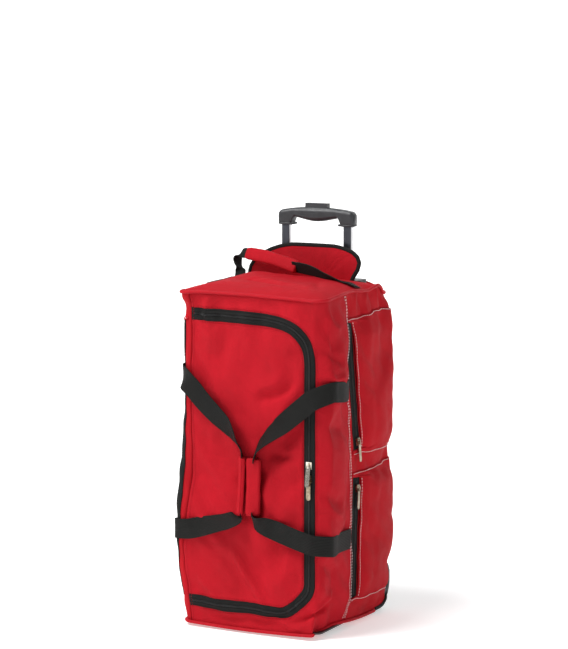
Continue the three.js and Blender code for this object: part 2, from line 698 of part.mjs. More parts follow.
function addTubeMounts() {
  const plate = alongZ(roundRect(BEZEL_W, BEZEL_D, BEZEL_CORNER, 0, TUBE_Y), BEZEL_BOTTOM, BEZEL_TOP);
  const skirtHalf = BEZEL_W / 2 - BEZEL_LAP.x - GAP;
  const depth = BEZEL_D / 2 - BEZEL_LAP.y - GAP;
  const skirt = box(-skirtHalf, skirtHalf, TUBE_Y - depth, TUBE_Y + depth, TOP - BEZEL_SKIRT, TOP + 1);
  const middle = box(-TUBE_X + 20, TUBE_X - 20, TUBE_Y - depth + 2, TUBE_Y + depth - 2,
    TOP - BEZEL_SKIRT - 1, TOP - 2);
  const rooms = [-TUBE_X, TUBE_X].flatMap((x) => [
    tubeRoom(OUTER_TUBE, x, TOP - BEZEL_SKIRT - 1, OUTER_TOP + GAP),
    tubeRoom(MID_TUBE, x, TOP - BEZEL_SKIRT - 1, BEZEL_TOP + 1),
  ]);
  add("top_bezel", cut(join(plate, skirt), middle, ...rooms), PLASTIC, PLASTIC_LOOK);

  const shoeHalf = TUBE_X + OUTER_TUBE.w / 2 + SHOE_WALL.x;
  const shoeDepth = OUTER_TUBE.d / 2 + SHOE_WALL.y;
  const shoe = box(-shoeHalf, shoeHalf, TUBE_Y - shoeDepth, TUBE_Y + shoeDepth,
    BOARD_TOP + GAP, TUBE_BOTTOM + SHOE_DEPTH);
  const seats = [-TUBE_X, TUBE_X].map((x) =>
    tubeRoom(OUTER_TUBE, x, TUBE_BOTTOM, TUBE_BOTTOM + SHOE_DEPTH + 1));
  const waist = box(-TUBE_X + SHOE_WAIST, TUBE_X - SHOE_WAIST, TUBE_Y - shoeDepth - 1, TUBE_Y + shoeDepth + 1,
    TUBE_BOTTOM, TUBE_BOTTOM + SHOE_DEPTH + 1);
  add("lower_tube_bracket", cut(shoe, waist, ...seats), PLASTIC, PLASTIC_LOOK);
}

// The grip's outline in X and Z: two sockets joined by an arched bar.
function gripOutline() {
  const half = GRIP_W / 2;
  const inside = half - SOCKET_W;
  const under = SOCKET_Z + BAR_UNDER;
  const shape = new THREE.Shape();
  shape.moveTo(-half, SOCKET_Z);
  shape.lineTo(-inside, SOCKET_Z);
  shape.lineTo(-inside, under - 4);
  shape.quadraticCurveTo(-inside + 2, under + 1, -inside + 12, under);
  shape.quadraticCurveTo(0, under - BAR_ARCH, inside - 12, under);
  shape.quadraticCurveTo(inside - 2, under + 1, inside, under - 4);
  shape.lineTo(inside, SOCKET_Z);
  shape.lineTo(half, SOCKET_Z);
  const shoulder = GRIP_TOP - GRIP_SHOULDER;
  shape.lineTo(half, GRIP_TOP - GRIP_CORNER);
  shape.quadraticCurveTo(half, shoulder - 2, half - 10, shoulder);
  shape.quadraticCurveTo(0, GRIP_TOP + GRIP_SHOULDER, -half + 10, shoulder);
  shape.quadraticCurveTo(-half, shoulder - 2, -half, GRIP_TOP - GRIP_CORNER);
  return shape;
}

function addGrip() {
  const bar = alongY(gripOutline(), TUBE_Y - GRIP_D / 2, TUBE_Y + GRIP_D / 2);
  const yokeHalf = TUBE_X + ROD / 2;
  const channelHalf = yokeHalf + 1.5 * ROD_SPACE;
  const rodRoom = ROD / 2 + ROD_SPACE;
  const yokeRoom = YOKE_D / 2 + ROD_SPACE;
  const channel = box(-channelHalf, channelHalf, TUBE_Y - yokeRoom, TUBE_Y + yokeRoom,
    YOKE_BOTTOM - BUTTON_TRAVEL - 1, YOKE_BOTTOM + YOKE_T + 1);
  const buttonRoom = box(-BUTTON.w / 2 - GAP, BUTTON.w / 2 + GAP,
    TUBE_Y - BUTTON.d / 2 - GAP, TUBE_Y + BUTTON.d / 2 + GAP, YOKE_BOTTOM, GRIP_TOP + PAST);
  const sockets = [-TUBE_X, TUBE_X].flatMap((x) => [
    tubeRoom(INNER_TUBE, x, SOCKET_Z - 1, INNER_TOP),
    box(x - rodRoom, x + rodRoom, TUBE_Y - yokeRoom, TUBE_Y + yokeRoom, INNER_TOP - 1, YOKE_BOTTOM),
  ]);
  add("grip", cut(bar, channel, buttonRoom, ...sockets), PLASTIC, PLASTIC_LOOK);

  const yoke = join(
    box(-yokeHalf, yokeHalf, TUBE_Y - YOKE_D / 2, TUBE_Y + YOKE_D / 2, YOKE_BOTTOM, YOKE_BOTTOM + YOKE_T),
    ...[-TUBE_X, TUBE_X].map((x) =>
      box(x - ROD / 2, x + ROD / 2, TUBE_Y - ROD / 2, TUBE_Y + ROD / 2,
        PIN_Z + PIN_R + BUTTON_TRAVEL + 1, YOKE_BOTTOM + 1)),
  );
  add("release_yoke", yoke, PLASTIC, PLASTIC_LOOK);

  const crown = GRIP_TOP + BUTTON.proud;
  const button = box(-BUTTON.w / 2, BUTTON.w / 2, TUBE_Y - BUTTON.d / 2, TUBE_Y + BUTTON.d / 2,
    YOKE_BOTTOM + YOKE_T + GAP, crown);
  add("push_button", button, PLASTIC, PLASTIC_LOOK);
}

function addFlap() {
  const y = TUBE_Y - BEZEL_D / 2 - FLAP_SPACE;
  const shape = new THREE.Shape();
  const half = FLAP_W / 2;
  const bottom = TOP + 1;
  const top = bottom + FLAP_H;
  shape.moveTo(-half, bottom);
  shape.lineTo(half, bottom);
  shape.lineTo(half, top - FLAP_CORNER);
  shape.absarc(half - FLAP_CORNER, top - FLAP_CORNER, FLAP_CORNER, 0, Math.PI / 2);
  shape.lineTo(-half + FLAP_CORNER, top);
  shape.absarc(-half + FLAP_CORNER, top - FLAP_CORNER, FLAP_CORNER, Math.PI / 2, Math.PI);
  add("trolley_flap", alongY(shape, y - FLAP_T, y), RED, FABRIC_LOOK);
  return { y: y - FLAP_T / 2, z: bottom };
}

// ---------------------------------------------------------------- webbing handles

// A front handle: two strap legs from the corner, narrowing into an upright grip.
function addFrontHandle(name, side) {
  const sleeveHalf = GRIP_FOLD / 2 + SLEEVE_WALL;
  const gripX = sleeveHalf + FRONT_GRIP_SPACE / 2;
  const upper = BASE + STRAP_UPPER_Z;
  const lower = BASE + STRAP_LOWER_Z;
  const top = BASE + FRONT_GRIP_TOP;
  const bottom = BASE + FRONT_GRIP_BOTTOM;
  const wide = WEBBING / 2;
  const narrow = GRIP_FOLD / 2;
  const line = [
    [HINGE_X, upper], [HINGE_X - STRAP_FOLD, upper], [gripX + 40, top + 52], [gripX + 12, top + 24],
    [gripX, top], [gripX, bottom],
    [gripX + 14, bottom - 16], [gripX + 60, bottom - 30], [HINGE_X - STRAP_FOLD, lower],
    [HINGE_X, lower],
  ];
  const halves = [wide, wide, wide, narrow + 4, narrow, narrow, narrow + 2, wide, wide, wide];
  const shape = band(line.map(([x, z]) => [side * x, z]), halves);
  const strap = alongY(shape, STRAP_Y - WEBBING_T / 2, STRAP_Y + WEBBING_T / 2);
  add("front_handle_strap_" + name, strap, BLACK, WEB_LOOK);

  const sleeve = roundRect(2 * sleeveHalf, SLEEVE_T, SLEEVE_T / 2 - 1, side * gripX, STRAP_Y);
  sleeve.holes.push(
    roundRect(GRIP_FOLD + 2 * GAP, WEBBING_T + 2 * GAP, 1, side * gripX, STRAP_Y),
  );
  add("front_handle_sleeve_" + name, alongZ(sleeve, bottom + SLEEVE_SHORT, top - SLEEVE_SHORT), RED, FABRIC_LOOK);
}

// The top handle, folded back over the top panel with its webbing standing on edge.
function addTopHandle() {
  const h = TOP_HANDLE;
  const tilted = new THREE.Group();
  tilted.position.set(0, h.y, TOP + h.lift);
  tilted.rotation.set(THREE.MathUtils.degToRad(h.tilt), 0, 0);
  bag.add(tilted);
  const line = [
    [h.half, 0], [h.half * h.elbowShare, h.elbowReach], [0, h.midReach], [-h.half + h.turn, h.reach],
    [-h.half - h.bulge, h.reach - h.turn / 2], [-h.half - h.bulge, h.reach - h.turnDrop],
    [-h.half, h.reach / 2], [-h.half, 0],
  ];
  const thick = WEBBING_T / 2;
  const strap = alongZ(band(line, line.map(() => thick)), 0, h.width);
  add("top_handle_strap", strap, BLACK, WEB_LOOK, tilted);

  const from = new THREE.Vector2(...line[2]);
  const to = new THREE.Vector2(...line[3]);
  const run = to.clone().sub(from);
  const length = run.length() - 2 * h.sleeveEnds;
  const section = roundRect(h.width + 2 * SLEEVE_WALL, WEBBING_T + 2 * SLEEVE_WALL, h.sleeveCorner);
  section.holes.push(roundRect(h.width + 2 * GAP, WEBBING_T + 2 * GAP, 0.8));
  const sleeve = extrude(section, length).translate(0, 0, -length / 2).rotateY(Math.PI / 2);
  sleeve.rotateZ(Math.atan2(run.y, run.x));
  const middle = from.clone().add(to).multiplyScalar(0.5);
  sleeve.translate(middle.x, middle.y, h.width / 2);
  add("top_handle_sleeve", sleeve, RED, FABRIC_LOOK, tilted);
}

// ---------------------------------------------------------------- the whole bag

addBody();
addLid();
addPockets();
addMainSliders();
addTubes();
addTubeMounts();
addGrip();
addFlap();
addWheels();
addFrontHandle("left", -1);
addFrontHandle("right", 1);
addTopHandle();

// The origin sits under the middle of the bag's overall box, on the floor.
const bounds = new THREE.Box3().setFromObject(bag);
const centre = bounds.getCenter(new THREE.Vector3());
bag.position.set(-centre.x, -centre.y, -bounds.min.z);

export default bag;
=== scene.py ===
"""Visual model of a rolling duffel bag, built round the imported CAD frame. Lengths are in millimetres
until a mesh is written; z is up and the bag's front looks along -Y."""

import math

import bmesh
import bpy
import numpy as np
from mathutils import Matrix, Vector


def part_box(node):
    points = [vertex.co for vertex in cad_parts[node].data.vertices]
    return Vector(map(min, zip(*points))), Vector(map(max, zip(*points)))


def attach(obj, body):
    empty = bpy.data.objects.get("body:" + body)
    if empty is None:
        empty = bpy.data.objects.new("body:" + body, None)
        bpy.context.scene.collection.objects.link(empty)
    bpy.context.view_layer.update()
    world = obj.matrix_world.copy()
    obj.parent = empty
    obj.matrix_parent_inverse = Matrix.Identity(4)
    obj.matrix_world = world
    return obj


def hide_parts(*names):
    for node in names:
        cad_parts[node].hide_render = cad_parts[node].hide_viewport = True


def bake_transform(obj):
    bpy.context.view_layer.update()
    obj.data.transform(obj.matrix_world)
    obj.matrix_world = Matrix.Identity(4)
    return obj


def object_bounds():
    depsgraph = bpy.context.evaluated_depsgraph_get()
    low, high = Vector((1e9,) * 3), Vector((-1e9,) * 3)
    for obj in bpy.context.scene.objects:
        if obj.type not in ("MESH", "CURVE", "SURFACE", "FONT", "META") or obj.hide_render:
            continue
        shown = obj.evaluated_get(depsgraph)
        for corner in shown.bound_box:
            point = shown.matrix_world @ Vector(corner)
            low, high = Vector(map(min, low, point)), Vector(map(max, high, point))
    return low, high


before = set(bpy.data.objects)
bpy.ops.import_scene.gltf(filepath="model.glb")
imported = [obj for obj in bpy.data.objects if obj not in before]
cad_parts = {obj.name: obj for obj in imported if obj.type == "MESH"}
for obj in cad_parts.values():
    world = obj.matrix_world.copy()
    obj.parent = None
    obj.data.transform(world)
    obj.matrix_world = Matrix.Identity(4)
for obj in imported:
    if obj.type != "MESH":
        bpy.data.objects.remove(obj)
cad_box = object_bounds()
MM = 0.001


def box(node):
    """Lowest and highest corner of a CAD node, in millimetres."""
    lo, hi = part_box(node)
    return np.array(lo) / MM, np.array(hi) / MM


# ---------------------------------------------------------------- sizes read from the frame

LID_LO, LID_HI = box("top_end_panel")
FLOOR_LO = box("bottom_end_panel")[0]
HALF_W = LID_HI[0]
FRONT = LID_LO[1]
BACK = LID_HI[1]
BASE = FLOOR_LO[2]
TOP = LID_HI[2]
CORNER_R = 18.0
ARC = CORNER_R * math.pi / 2
FLAT_X = HALF_W - CORNER_R
FLAT_Y = (BACK - FRONT) - 2 * CORNER_R
HALF_P = 2 * FLAT_X + 2 * ARC + FLAT_Y
PERIMETER = 2 * HALF_P

FRONT_LO = box("front_panel")[0]
LEFT_SEAM = FRONT_LO[0]
ZIP_LO, ZIP_HI = box("main_zip")
ZIP_W = 24.0
ZIP_X = ZIP_HI[0] - ZIP_W / 2
ZIP_TOP = ZIP_HI[2] - ZIP_W / 2
ZIP_LOW = ZIP_LO[2] + ZIP_W / 2
STRAP_LO, STRAP_HI = box("front_handle_strap_right")
STRAP_Y = (STRAP_LO[1] + STRAP_HI[1]) / 2
PIPING_R = 3.3
WEBBING = 40.0


def side_s(y):
    """Distance round the bag, from the front's middle, of a point at y on the right side."""
    return FLAT_X + ARC + (np.asarray(y, float) - FRONT - CORNER_R)


def back_s(x):
    return FLAT_X + 2 * ARC + FLAT_Y + (FLAT_X - np.asarray(x, float))


# ---------------------------------------------------------------- small maths

def ease(a, b, x):
    t = np.clip((np.asarray(x, float) - a) / (b - a), 0, 1)
    return t * t * (3 - 2 * t)


def bell(d, width):
    return np.exp(-(np.asarray(d, float) / width) ** 2)


def wrap(s):
    return (np.asarray(s, float) + HALF_P) % PERIMETER - HALF_P


def unit(v):
    return v / np.maximum(np.linalg.norm(v, axis=-1, keepdims=True), 1e-9)


def curve_through(points, step=3.0):
    """A smooth curve through the points, in even steps; the points may hold any number of values."""
    p = np.array(points, float)
    q = np.vstack([2 * p[0] - p[1], p, 2 * p[-1] - p[-2]])
    out = []
    for i in range(len(p) - 1):
        a, b, c, d = q[i:i + 4]
        t = np.linspace(0, 1, 24, endpoint=False)[:, None]
        out.append(0.5 * (2 * b + (c - a) * t + (2 * a - 5 * b + 4 * c - d) * t ** 2
                          + (3 * b - a - 3 * c + d) * t ** 3))
    fine = np.vstack(out + [p[-1:]])
    return resample(fine, step)


def resample(fine, step, dims=3):
    gaps = np.linalg.norm(np.diff(fine[:, :dims], axis=0), axis=1)
    along = np.concatenate([[0], np.cumsum(gaps)])
    n = max(2, int(round(along[-1] / step)) + 1)
    t = np.linspace(0, along[-1], n)
    return np.stack([np.interp(t, along, fine[:, k]) for k in range(fine.shape[1])], axis=1)


# ---------------------------------------------------------------- the shell's shape

def ring(s):
    """Nominal point and outward direction on the bag's wall."""
    s = wrap(s)
    side = np.where(s < 0, -1.0, 1.0)
    a = np.abs(s)
    t1 = np.clip((a - FLAT_X) / ARC, 0, 1) * math.pi / 2
    run = np.clip(a - FLAT_X - ARC, 0, FLAT_Y)
    t2 = np.clip((a - FLAT_X - ARC - FLAT_Y) / ARC, 0, 1) * math.pi / 2
    rear = np.clip(a - FLAT_X - 2 * ARC - FLAT_Y, 0, FLAT_X)
    x = np.minimum(a, FLAT_X) + CORNER_R * np.sin(t1) - CORNER_R * (1 - np.cos(t2)) - rear
    y = FRONT + CORNER_R * (1 - np.cos(t1)) + run + CORNER_R * np.sin(t2)
    turn = t1 + t2
    return x * side, y, np.sin(turn) * side, -np.cos(turn)


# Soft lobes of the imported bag: distance round the bag, height, spreads, and how far it moves.
LOBES = [
    (-150, 205, 30, 150, (-7, -13, 0)),
    (-95, 190, 60, 150, (0, -6, 0)),
    (-20, 210, 90, 140, (0, -5, 0)),
    (60, 240, 60, 120, (0, -3, 0)),
    (-60, 500, 90, 110, (0, -3, 0)),
    (-128, 610, 26, 70, (1, 5, 0)),
    (-2, 300, 34, 90, (0, 4, 0)),
    (68, 345, 34, 26, (0, -4, 0)),
    (60, 120, 50, 45, (0, -3, 0)),
    (side_s(-30), 95, 55, 60, (6, 0, 0)),
]
# Creases: both ends, width and depth (a ridge is positive).
CREASES = [
    (22, 470, 98, 505, 10, -5.0), (20, 492, 80, 520, 13, 2.5),
    (-34, 176, 36, 52, 7, 3.6), (-20, 182, 44, 66, 9, -3.2), (-52, 160, -6, 66, 12, -2.2),
    (-130, 128, -70, 70, 10, 2.0), (58, 196, 84, 96, 14, -2.8), (86, 176, 70, 100, 12, 2.2),
    (-120, 640, -84, 596, 9, -3.2), (-100, 655, -92, 600, 7, 2.4), (-76, 652, -70, 610, 9, -1.8),
    (-125, 560, -96, 470, 14, -2.0), (-40, 600, 70, 520, 20, 1.8), (-100, 520, -30, 590, 20, -1.6),
    (12, 345, 24, 238, 13, -4.5), (34, 372, 112, 352, 10, -3.0), (52, 326, 112, 300, 12, -2.0),
    (-70, 400, -30, 330, 22, -3.0), (-112, 330, -50, 250, 24, -2.0),
    (146, 640, 172, 566, 9, -3.6), (158, 640, 190, 600, 8, 2.6), (152, 574, 196, 536, 9, -3.4),
    (150, 520, 205, 508, 7, 3.0), (150, 505, 200, 497, 6, -3.0), (160, 432, 205, 400, 12, -2.4),
    (150, 300, 200, 262, 12, -3.4), (152, 268, 204, 236, 9, 2.6), (150, 160, 206, 120, 11, -2.8),
    (146, 118, 196, 62, 10, 3.0), (120, 42, 190, 66, 6, -6.0), (128, 56, 200, 86, 7, 3.8),
    (88, 30, 150, 58, 8, -3.0), (60, 34, 128, 22, 6, 2.4), (-60, 30, 40, 26, 8, -2.0),
    (100, 78, 136, 40, 8, 2.2),
]


def side_creases():
    """Gathers above the pockets: short soft upright folds below the top seam, in each side."""
    out = []
    for side in (1, -1):
        for k, y in enumerate((-34, -8, 14, 38, 62, 88, 112)):
            lean = 9 + 3 * (k % 3)
            out.append((side * side_s(y), 664, side * side_s(y + lean), 618, 6.5, (-2.4, 2.0)[k % 2]))
    return out


CREASES += side_creases()
RIM_UP = [(-150, 1), (-100, 2), (0, 1.5), (60, -1), (134, -3), (150, -1), (side_s(-80), 3), (side_s(-25), 4),
          (side_s(20), 0), (side_s(52), -2), (side_s(100), 5), (side_s(128), 1), (side_s(146), -7),
          (back_s(130), -10), (back_s(112), -4), (back_s(95), 0)]


def rim_up(s):
    """How far the top seam rises or drops, the same behind on both sides."""
    s = wrap(s)
    keys = np.array(RIM_UP, float)
    right = np.interp(s, keys[:, 0], keys[:, 1])
    left = np.interp(-s, keys[:, 0], keys[:, 1])
    return np.where(s > 0, right, np.where(s < -165, 0.7 * left, right))


def still(s, z):
    """1 where the cloth has to stay put for the zips' sliders, 0 where it is free."""
    s = wrap(s)
    keep = (1 - ease(12, 17, np.abs(s - ZIP_X))) * ease(95, 120, z) * (1 - ease(560, 585, z))
    for side in (1, -1):
        for level in ("upper", "lower"):
            (y0, z0), (y1, z1) = POCKET_ZIPS[level, side]
            y = y0 + (y1 - y0) * (z - z0) / (z1 - z0)
            near = 1 - ease(9, 20, np.abs(side * s - side_s(y)))
            keep = np.maximum(keep, near * ease(z1 - 20, z1, z) * (1 - ease(z0, z0 + 20, z)))
    return np.clip(keep, 0, 1)


def pocket_zip_line(level, side):
    """Top and bottom of a pocket's zip as ((y, z), (y, z)), from its CAD node."""
    lo, hi = box(level + ("_zip_right" if side > 0 else "_zip_left"))
    front, rear = lo[1] + POCKET_TAPE / 2, hi[1] - POCKET_TAPE / 2
    if level == "upper":
        return (front, hi[2]), (rear, lo[2])
    return (rear, hi[2]), (front, lo[2])


POCKET_TAPE = 26.0
POCKET_ZIPS = {(level, side): pocket_zip_line(level, side)
               for level in ("upper", "lower") for side in (1, -1)}


def base_shape(s, z):
    """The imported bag's wall before the cloth simulation."""
    s = wrap(s)
    z = np.asarray(z, float)
    x, y, nx, ny = ring(s)
    out = np.stack([x, y, z + 0 * x], axis=-1)
    free = 1 - still(s, z)
    for s0, z0, ws, wz, move in LOBES:
        w = bell(s - s0, ws) * bell(z - z0, wz) * free
        w = w * ease(BASE, BASE + 45, z) * (1 - ease(TOP - 40, TOP, z))
        out = out + w[..., None] * np.array(move, float)
    # the right front edge stands out past the zip, widest at mid-height
    full = np.interp(z, [BASE, 45, 125, 225, 320, 520, 610, TOP], [-15, -9, 3, 13, 17, 17, 13, 7])
    corner = ease(ZIP_X + 11, ZIP_X + 32, s) * (1 - ease(side_s(-95), side_s(-20), s))
    out[..., 0] += full * corner * free
    # the foot of the right side is drawn in, ahead of the wheel
    tuck = ease(ZIP_X - 60, ZIP_X + 10, s) * (1 - ease(side_s(20), side_s(80), s)) * (1 - ease(BASE, 90, z))
    out[..., 0] -= 8 * tuck * (1 - ease(ZIP_X + 20, ZIP_X + 60, s))
    out[..., 2] += 7 * (1 - ease(BASE, 70, z)) * bell(s - side_s(-60), 70)
    # the left front edge is soft and low
    left = np.interp(z, [BASE, 60, 110, 210, 310, 470, 590, 645, TOP], [-3, 0, 3, 4, 3, 0, -3, -1, 3])
    w = bell(s + 155, 20)
    out[..., 0] -= left * w * free
    # the sides swell a little behind the zips
    swell = ease(side_s(30), side_s(90), np.abs(s)) * (1 - ease(side_s(158), back_s(128), np.abs(s)))
    swell = swell * ease(95, 170, z) * (1 - ease(TOP - 70, TOP - 15, z)) * 3.0
    out[..., 0] += np.sign(s) * swell * free
    # rim
    near_top = np.exp(-((TOP - z) / 42.0) ** 2)
    out[..., 2] += rim_up(s) * near_top
    ears = bell(s + 149, 20) * np.exp(-((TOP - z) / 12.0) ** 2)
    out += ears[..., None] * np.array([1, -4, -1.5])
    ears = bell(s - 149, 22) * np.exp(-((TOP - z) / 20.0) ** 2)
    out += ears[..., None] * np.array([2, -6, -1])
    out += (bell(s + 150, 15) * bell(z - TOP + 13, 12))[..., None] * np.array([-4.5, -5, 0])
    for side in (1, -1):
        corner = bell(s - side * side_s(150), 34) * np.exp(-((TOP - z) / 26.0) ** 2)
        out += corner[..., None] * np.array([-8.0 * side, -7, -9])
    foot = np.exp(-((z - BASE) / 26.0) ** 2)
    sag = bell(s + 20, 130) * foot
    out[..., 2] -= 3.0 * sag
    out[..., 1] -= 5.0 * sag
    # creases and fine crumpling act along the wall's own direction
    push = np.zeros_like(x)
    for s0, z0, s1, z1, width, depth in CREASES:
        ds, dz = s1 - s0, z1 - z0
        t = ((s - s0) * ds + (z - z0) * dz) / (ds * ds + dz * dz)
        off = (s - s0) * dz - (z - z0) * ds
        off = off / math.hypot(ds, dz)
        off = off + 3.0 * np.sin(t * 5.1 + depth)
        push += 1.5 * depth * bell(off, width) * ease(-0.15, 0.25, t) * (1 - ease(0.75, 1.15, t))
    push = push + crumple(s, z)
    push = push * free * ease(BASE, BASE + 14, z) * (1 - ease(TOP - 12, TOP, z))
    push = push * (1 - 0.75 * ease(side_s(95), side_s(150), np.abs(s)))
    out[..., 0] += push * nx
    out[..., 1] += push * ny
    return out


def crumple(s, z):
    """Low, slow waves, in steady pseudo-random directions."""
    total = 0
    for k in range(7):
        a = 2.4 * k + 0.7
        wave = 34 + 13 * k
        u = s * math.cos(a) + z * math.sin(a)
        v = s * math.sin(a) - z * math.cos(a)
        total = total + math.sin(1 + k) * np.sin(2 * math.pi * u / wave + 1.6 * np.sin(v / (1.3 * wave) + k))
    return 0.5 * total


# ---------------------------------------------------------------- cloth simulation of the wall

SIM_S = 134
SIM_Z = 74
s_grid = -HALF_P + PERIMETER * np.arange(SIM_S) / SIM_S
z_grid = np.linspace(BASE, TOP, SIM_Z)
sagged = np.zeros((SIM_S, SIM_Z, 3))


def simulate_wall():
    """Blender's cloth on the whole wall, held at the seams, zips and back: how far each point moves."""
    ss, zz = np.meshgrid(s_grid, z_grid, indexing="ij")
    rest = base_shape(ss, zz)
    verts = rest.reshape(-1, 3) * MM
    faces = [(i * SIM_Z + j, ((i + 1) % SIM_S) * SIM_Z + j,
              ((i + 1) % SIM_S) * SIM_Z + j + 1, i * SIM_Z + j + 1)
             for i in range(SIM_S) for j in range(SIM_Z - 1)]
    mesh = bpy.data.meshes.new("wall_cloth")
    mesh.from_pydata([tuple(v) for v in verts], [], faces)
    obj = bpy.data.objects.new("wall_cloth", mesh)
    bpy.context.scene.collection.objects.link(obj)
    hold = np.maximum(still(ss, zz), 0.10)
    hold = np.maximum(hold, 1 - ease(3, 16, zz - BASE))
    hold = np.maximum(hold, 1 - ease(3, 16, TOP - zz))
    hold = np.maximum(hold, ease(back_s(130), back_s(118), np.abs(ss)))
    hold = np.maximum(hold, 1 - ease(3, 14, np.abs(ss - LEFT_SEAM)))
    hold = np.maximum(hold, (1 - ease(4, 16, np.abs(ss - side_s(-24)))) * 0.8)
    group = obj.vertex_groups.new(name="hold")
    for k, w in enumerate(hold.reshape(-1)):
        group.add([k], float(w), "REPLACE")
    mod = obj.modifiers.new("cloth", "CLOTH")
    cloth = mod.settings
    cloth.quality = 6
    cloth.mass = 0.25
    cloth.tension_stiffness = 25
    cloth.compression_stiffness = 25
    cloth.shear_stiffness = 12
    cloth.bending_stiffness = 0.6
    cloth.vertex_group_mass = "hold"
    cloth.pin_stiffness = 1.0
    cloth.use_pressure = True
    cloth.uniform_pressure_force = 1.6
    cloth.shrink_min = -0.035
    cloth.effector_weights.gravity = 0.5
    mod.collision_settings.use_collision = False
    scene = bpy.context.scene
    mod.point_cache.frame_start = 1
    mod.point_cache.frame_end = 24
    for f in range(1, 25):
        scene.frame_set(f)
    dg = bpy.context.evaluated_depsgraph_get()
    moved = np.zeros(len(verts) * 3, np.float32)
    obj.evaluated_get(dg).data.vertices.foreach_get("co", moved)
    moved = moved.reshape(SIM_S, SIM_Z, 3) / MM - rest
    scene.frame_set(1)
    bpy.data.objects.remove(obj)
    bpy.data.meshes.remove(mesh)
    size = np.linalg.norm(moved, axis=-1, keepdims=True)
    moved = moved * np.minimum(1, CLOTH_CAP / np.maximum(size, 1e-6))
    soft = moved.copy()
    for _ in range(2):
        soft[:, 1:-1] = (2 * soft[:, 1:-1] + soft[:, 2:] + soft[:, :-2]
                         + np.roll(soft, 1, 0)[:, 1:-1] + np.roll(soft, -1, 0)[:, 1:-1]) / 6
    return soft * (1 - hold_fade(ss, zz))[..., None]


def hold_fade(s, z):
    return np.maximum(still(s, z), ease(back_s(130), back_s(118), np.abs(wrap(s))))


CLOTH_CAP = 7.0
sagged = simulate_wall()


def cubic(t):
    return np.stack([-0.5 * t + t ** 2 - 0.5 * t ** 3, 1 - 2.5 * t ** 2 + 1.5 * t ** 3,
                     0.5 * t + 2 * t ** 2 - 1.5 * t ** 3, -0.5 * t ** 2 + 0.5 * t ** 3], axis=-1)


def wall(s, z):
    """Point on the finished wall, at distance s round the bag and height z."""
    s, z = np.broadcast_arrays(np.asarray(s, float), np.asarray(z, float))
    out = base_shape(s, z)
    fs = (wrap(s) + HALF_P) / PERIMETER * SIM_S
    fz = np.clip((z - BASE) / (TOP - BASE), 0, 1) * (SIM_Z - 1)
    i, j = np.floor(fs).astype(int), np.minimum(np.floor(fz).astype(int), SIM_Z - 2)
    ws, wz = cubic(fs - i), cubic(fz - j)
    for a in range(4):
        for b in range(4):
            cell = sagged[(i + a - 1) % SIM_S, np.clip(j + b - 1, 0, SIM_Z - 1)]
            out += (ws[..., a] * wz[..., b])[..., None] * cell
    return out


def wall_out(s, z):
    """The wall's outward direction."""
    e = 2.0
    z = np.asarray(z, float)
    z1, z0 = np.minimum(z + e, TOP), np.maximum(z - e, BASE)
    return unit(np.cross(wall(s + e, z) - wall(s - e, z), wall(s, z1) - wall(s, z0)))


def on_wall(s, z, off):
    return wall(s, z) + wall_out(s, z) * np.asarray(off, float)[..., None]


# ---------------------------------------------------------------- mesh making

def make(name, verts, faces, material, uv=None, smooth=True):
    """A mesh object from millimetre points. uv holds one (u, v) in metres per face corner."""
    mesh = bpy.data.meshes.new(name)
    mesh.from_pydata((np.asarray(verts, float) * MM).tolist(), [], faces)
    if uv is not None:
        layer = mesh.uv_layers.new(name="weave")
        layer.data.foreach_set("uv", np.asarray(uv, np.float32).ravel())
    mesh.polygons.foreach_set("use_smooth", [smooth] * len(mesh.polygons))
    mesh.materials.append(material)
    mesh.update()
    obj = bpy.data.objects.new(name, mesh)
    bpy.context.scene.collection.objects.link(obj)
    return obj


def grid(name, points, material, uv, keep=None, around=False):
    """A sheet of quads over points[i, j]; keep[i, j] says which quads are made."""
    ni, nj = points.shape[:2]
    faces, uvs = [], []
    for i in range(ni if around else ni - 1):
        k = (i + 1) % ni
        for j in range(nj - 1):
            if keep is not None and not keep[i, j]:
                continue
            faces.append((i * nj + j, k * nj + j, k * nj + j + 1, i * nj + j + 1))
            ua = uv[i, j, 0]
            ub = uv[k, j, 0] if k > i else ua + (uv[i, j, 0] - uv[i - 1, j, 0])
            uvs += [(ua, uv[i, j, 1]), (ub, uv[k, j, 1]), (ub, uv[k, j + 1, 1]), (ua, uv[i, j + 1, 1])]
    used = sorted({v for f in faces for v in f})
    index = {v: n for n, v in enumerate(used)}
    verts = points.reshape(-1, 3)[used]
    faces = [tuple(index[v] for v in f) for f in faces]
    return make(name, verts, faces, material, uvs)


def thicken(obj, thickness, offset=-1.0):
    mod = obj.modifiers.new("thickness", "SOLIDIFY")
    mod.thickness = thickness * MM
    mod.offset = offset
    mod.use_even_offset = False
    return obj


def oval(a, b, n=16, power=2.0):
    """A closed section with half sizes a and b; a higher power makes it squarer."""
    t = 2 * math.pi * np.arange(n) / n
    c, s = np.cos(t), np.sin(t)
    return np.stack([a * np.sign(c) * np.abs(c) ** (2 / power),
                     b * np.sign(s) * np.abs(s) ** (2 / power)], axis=1)


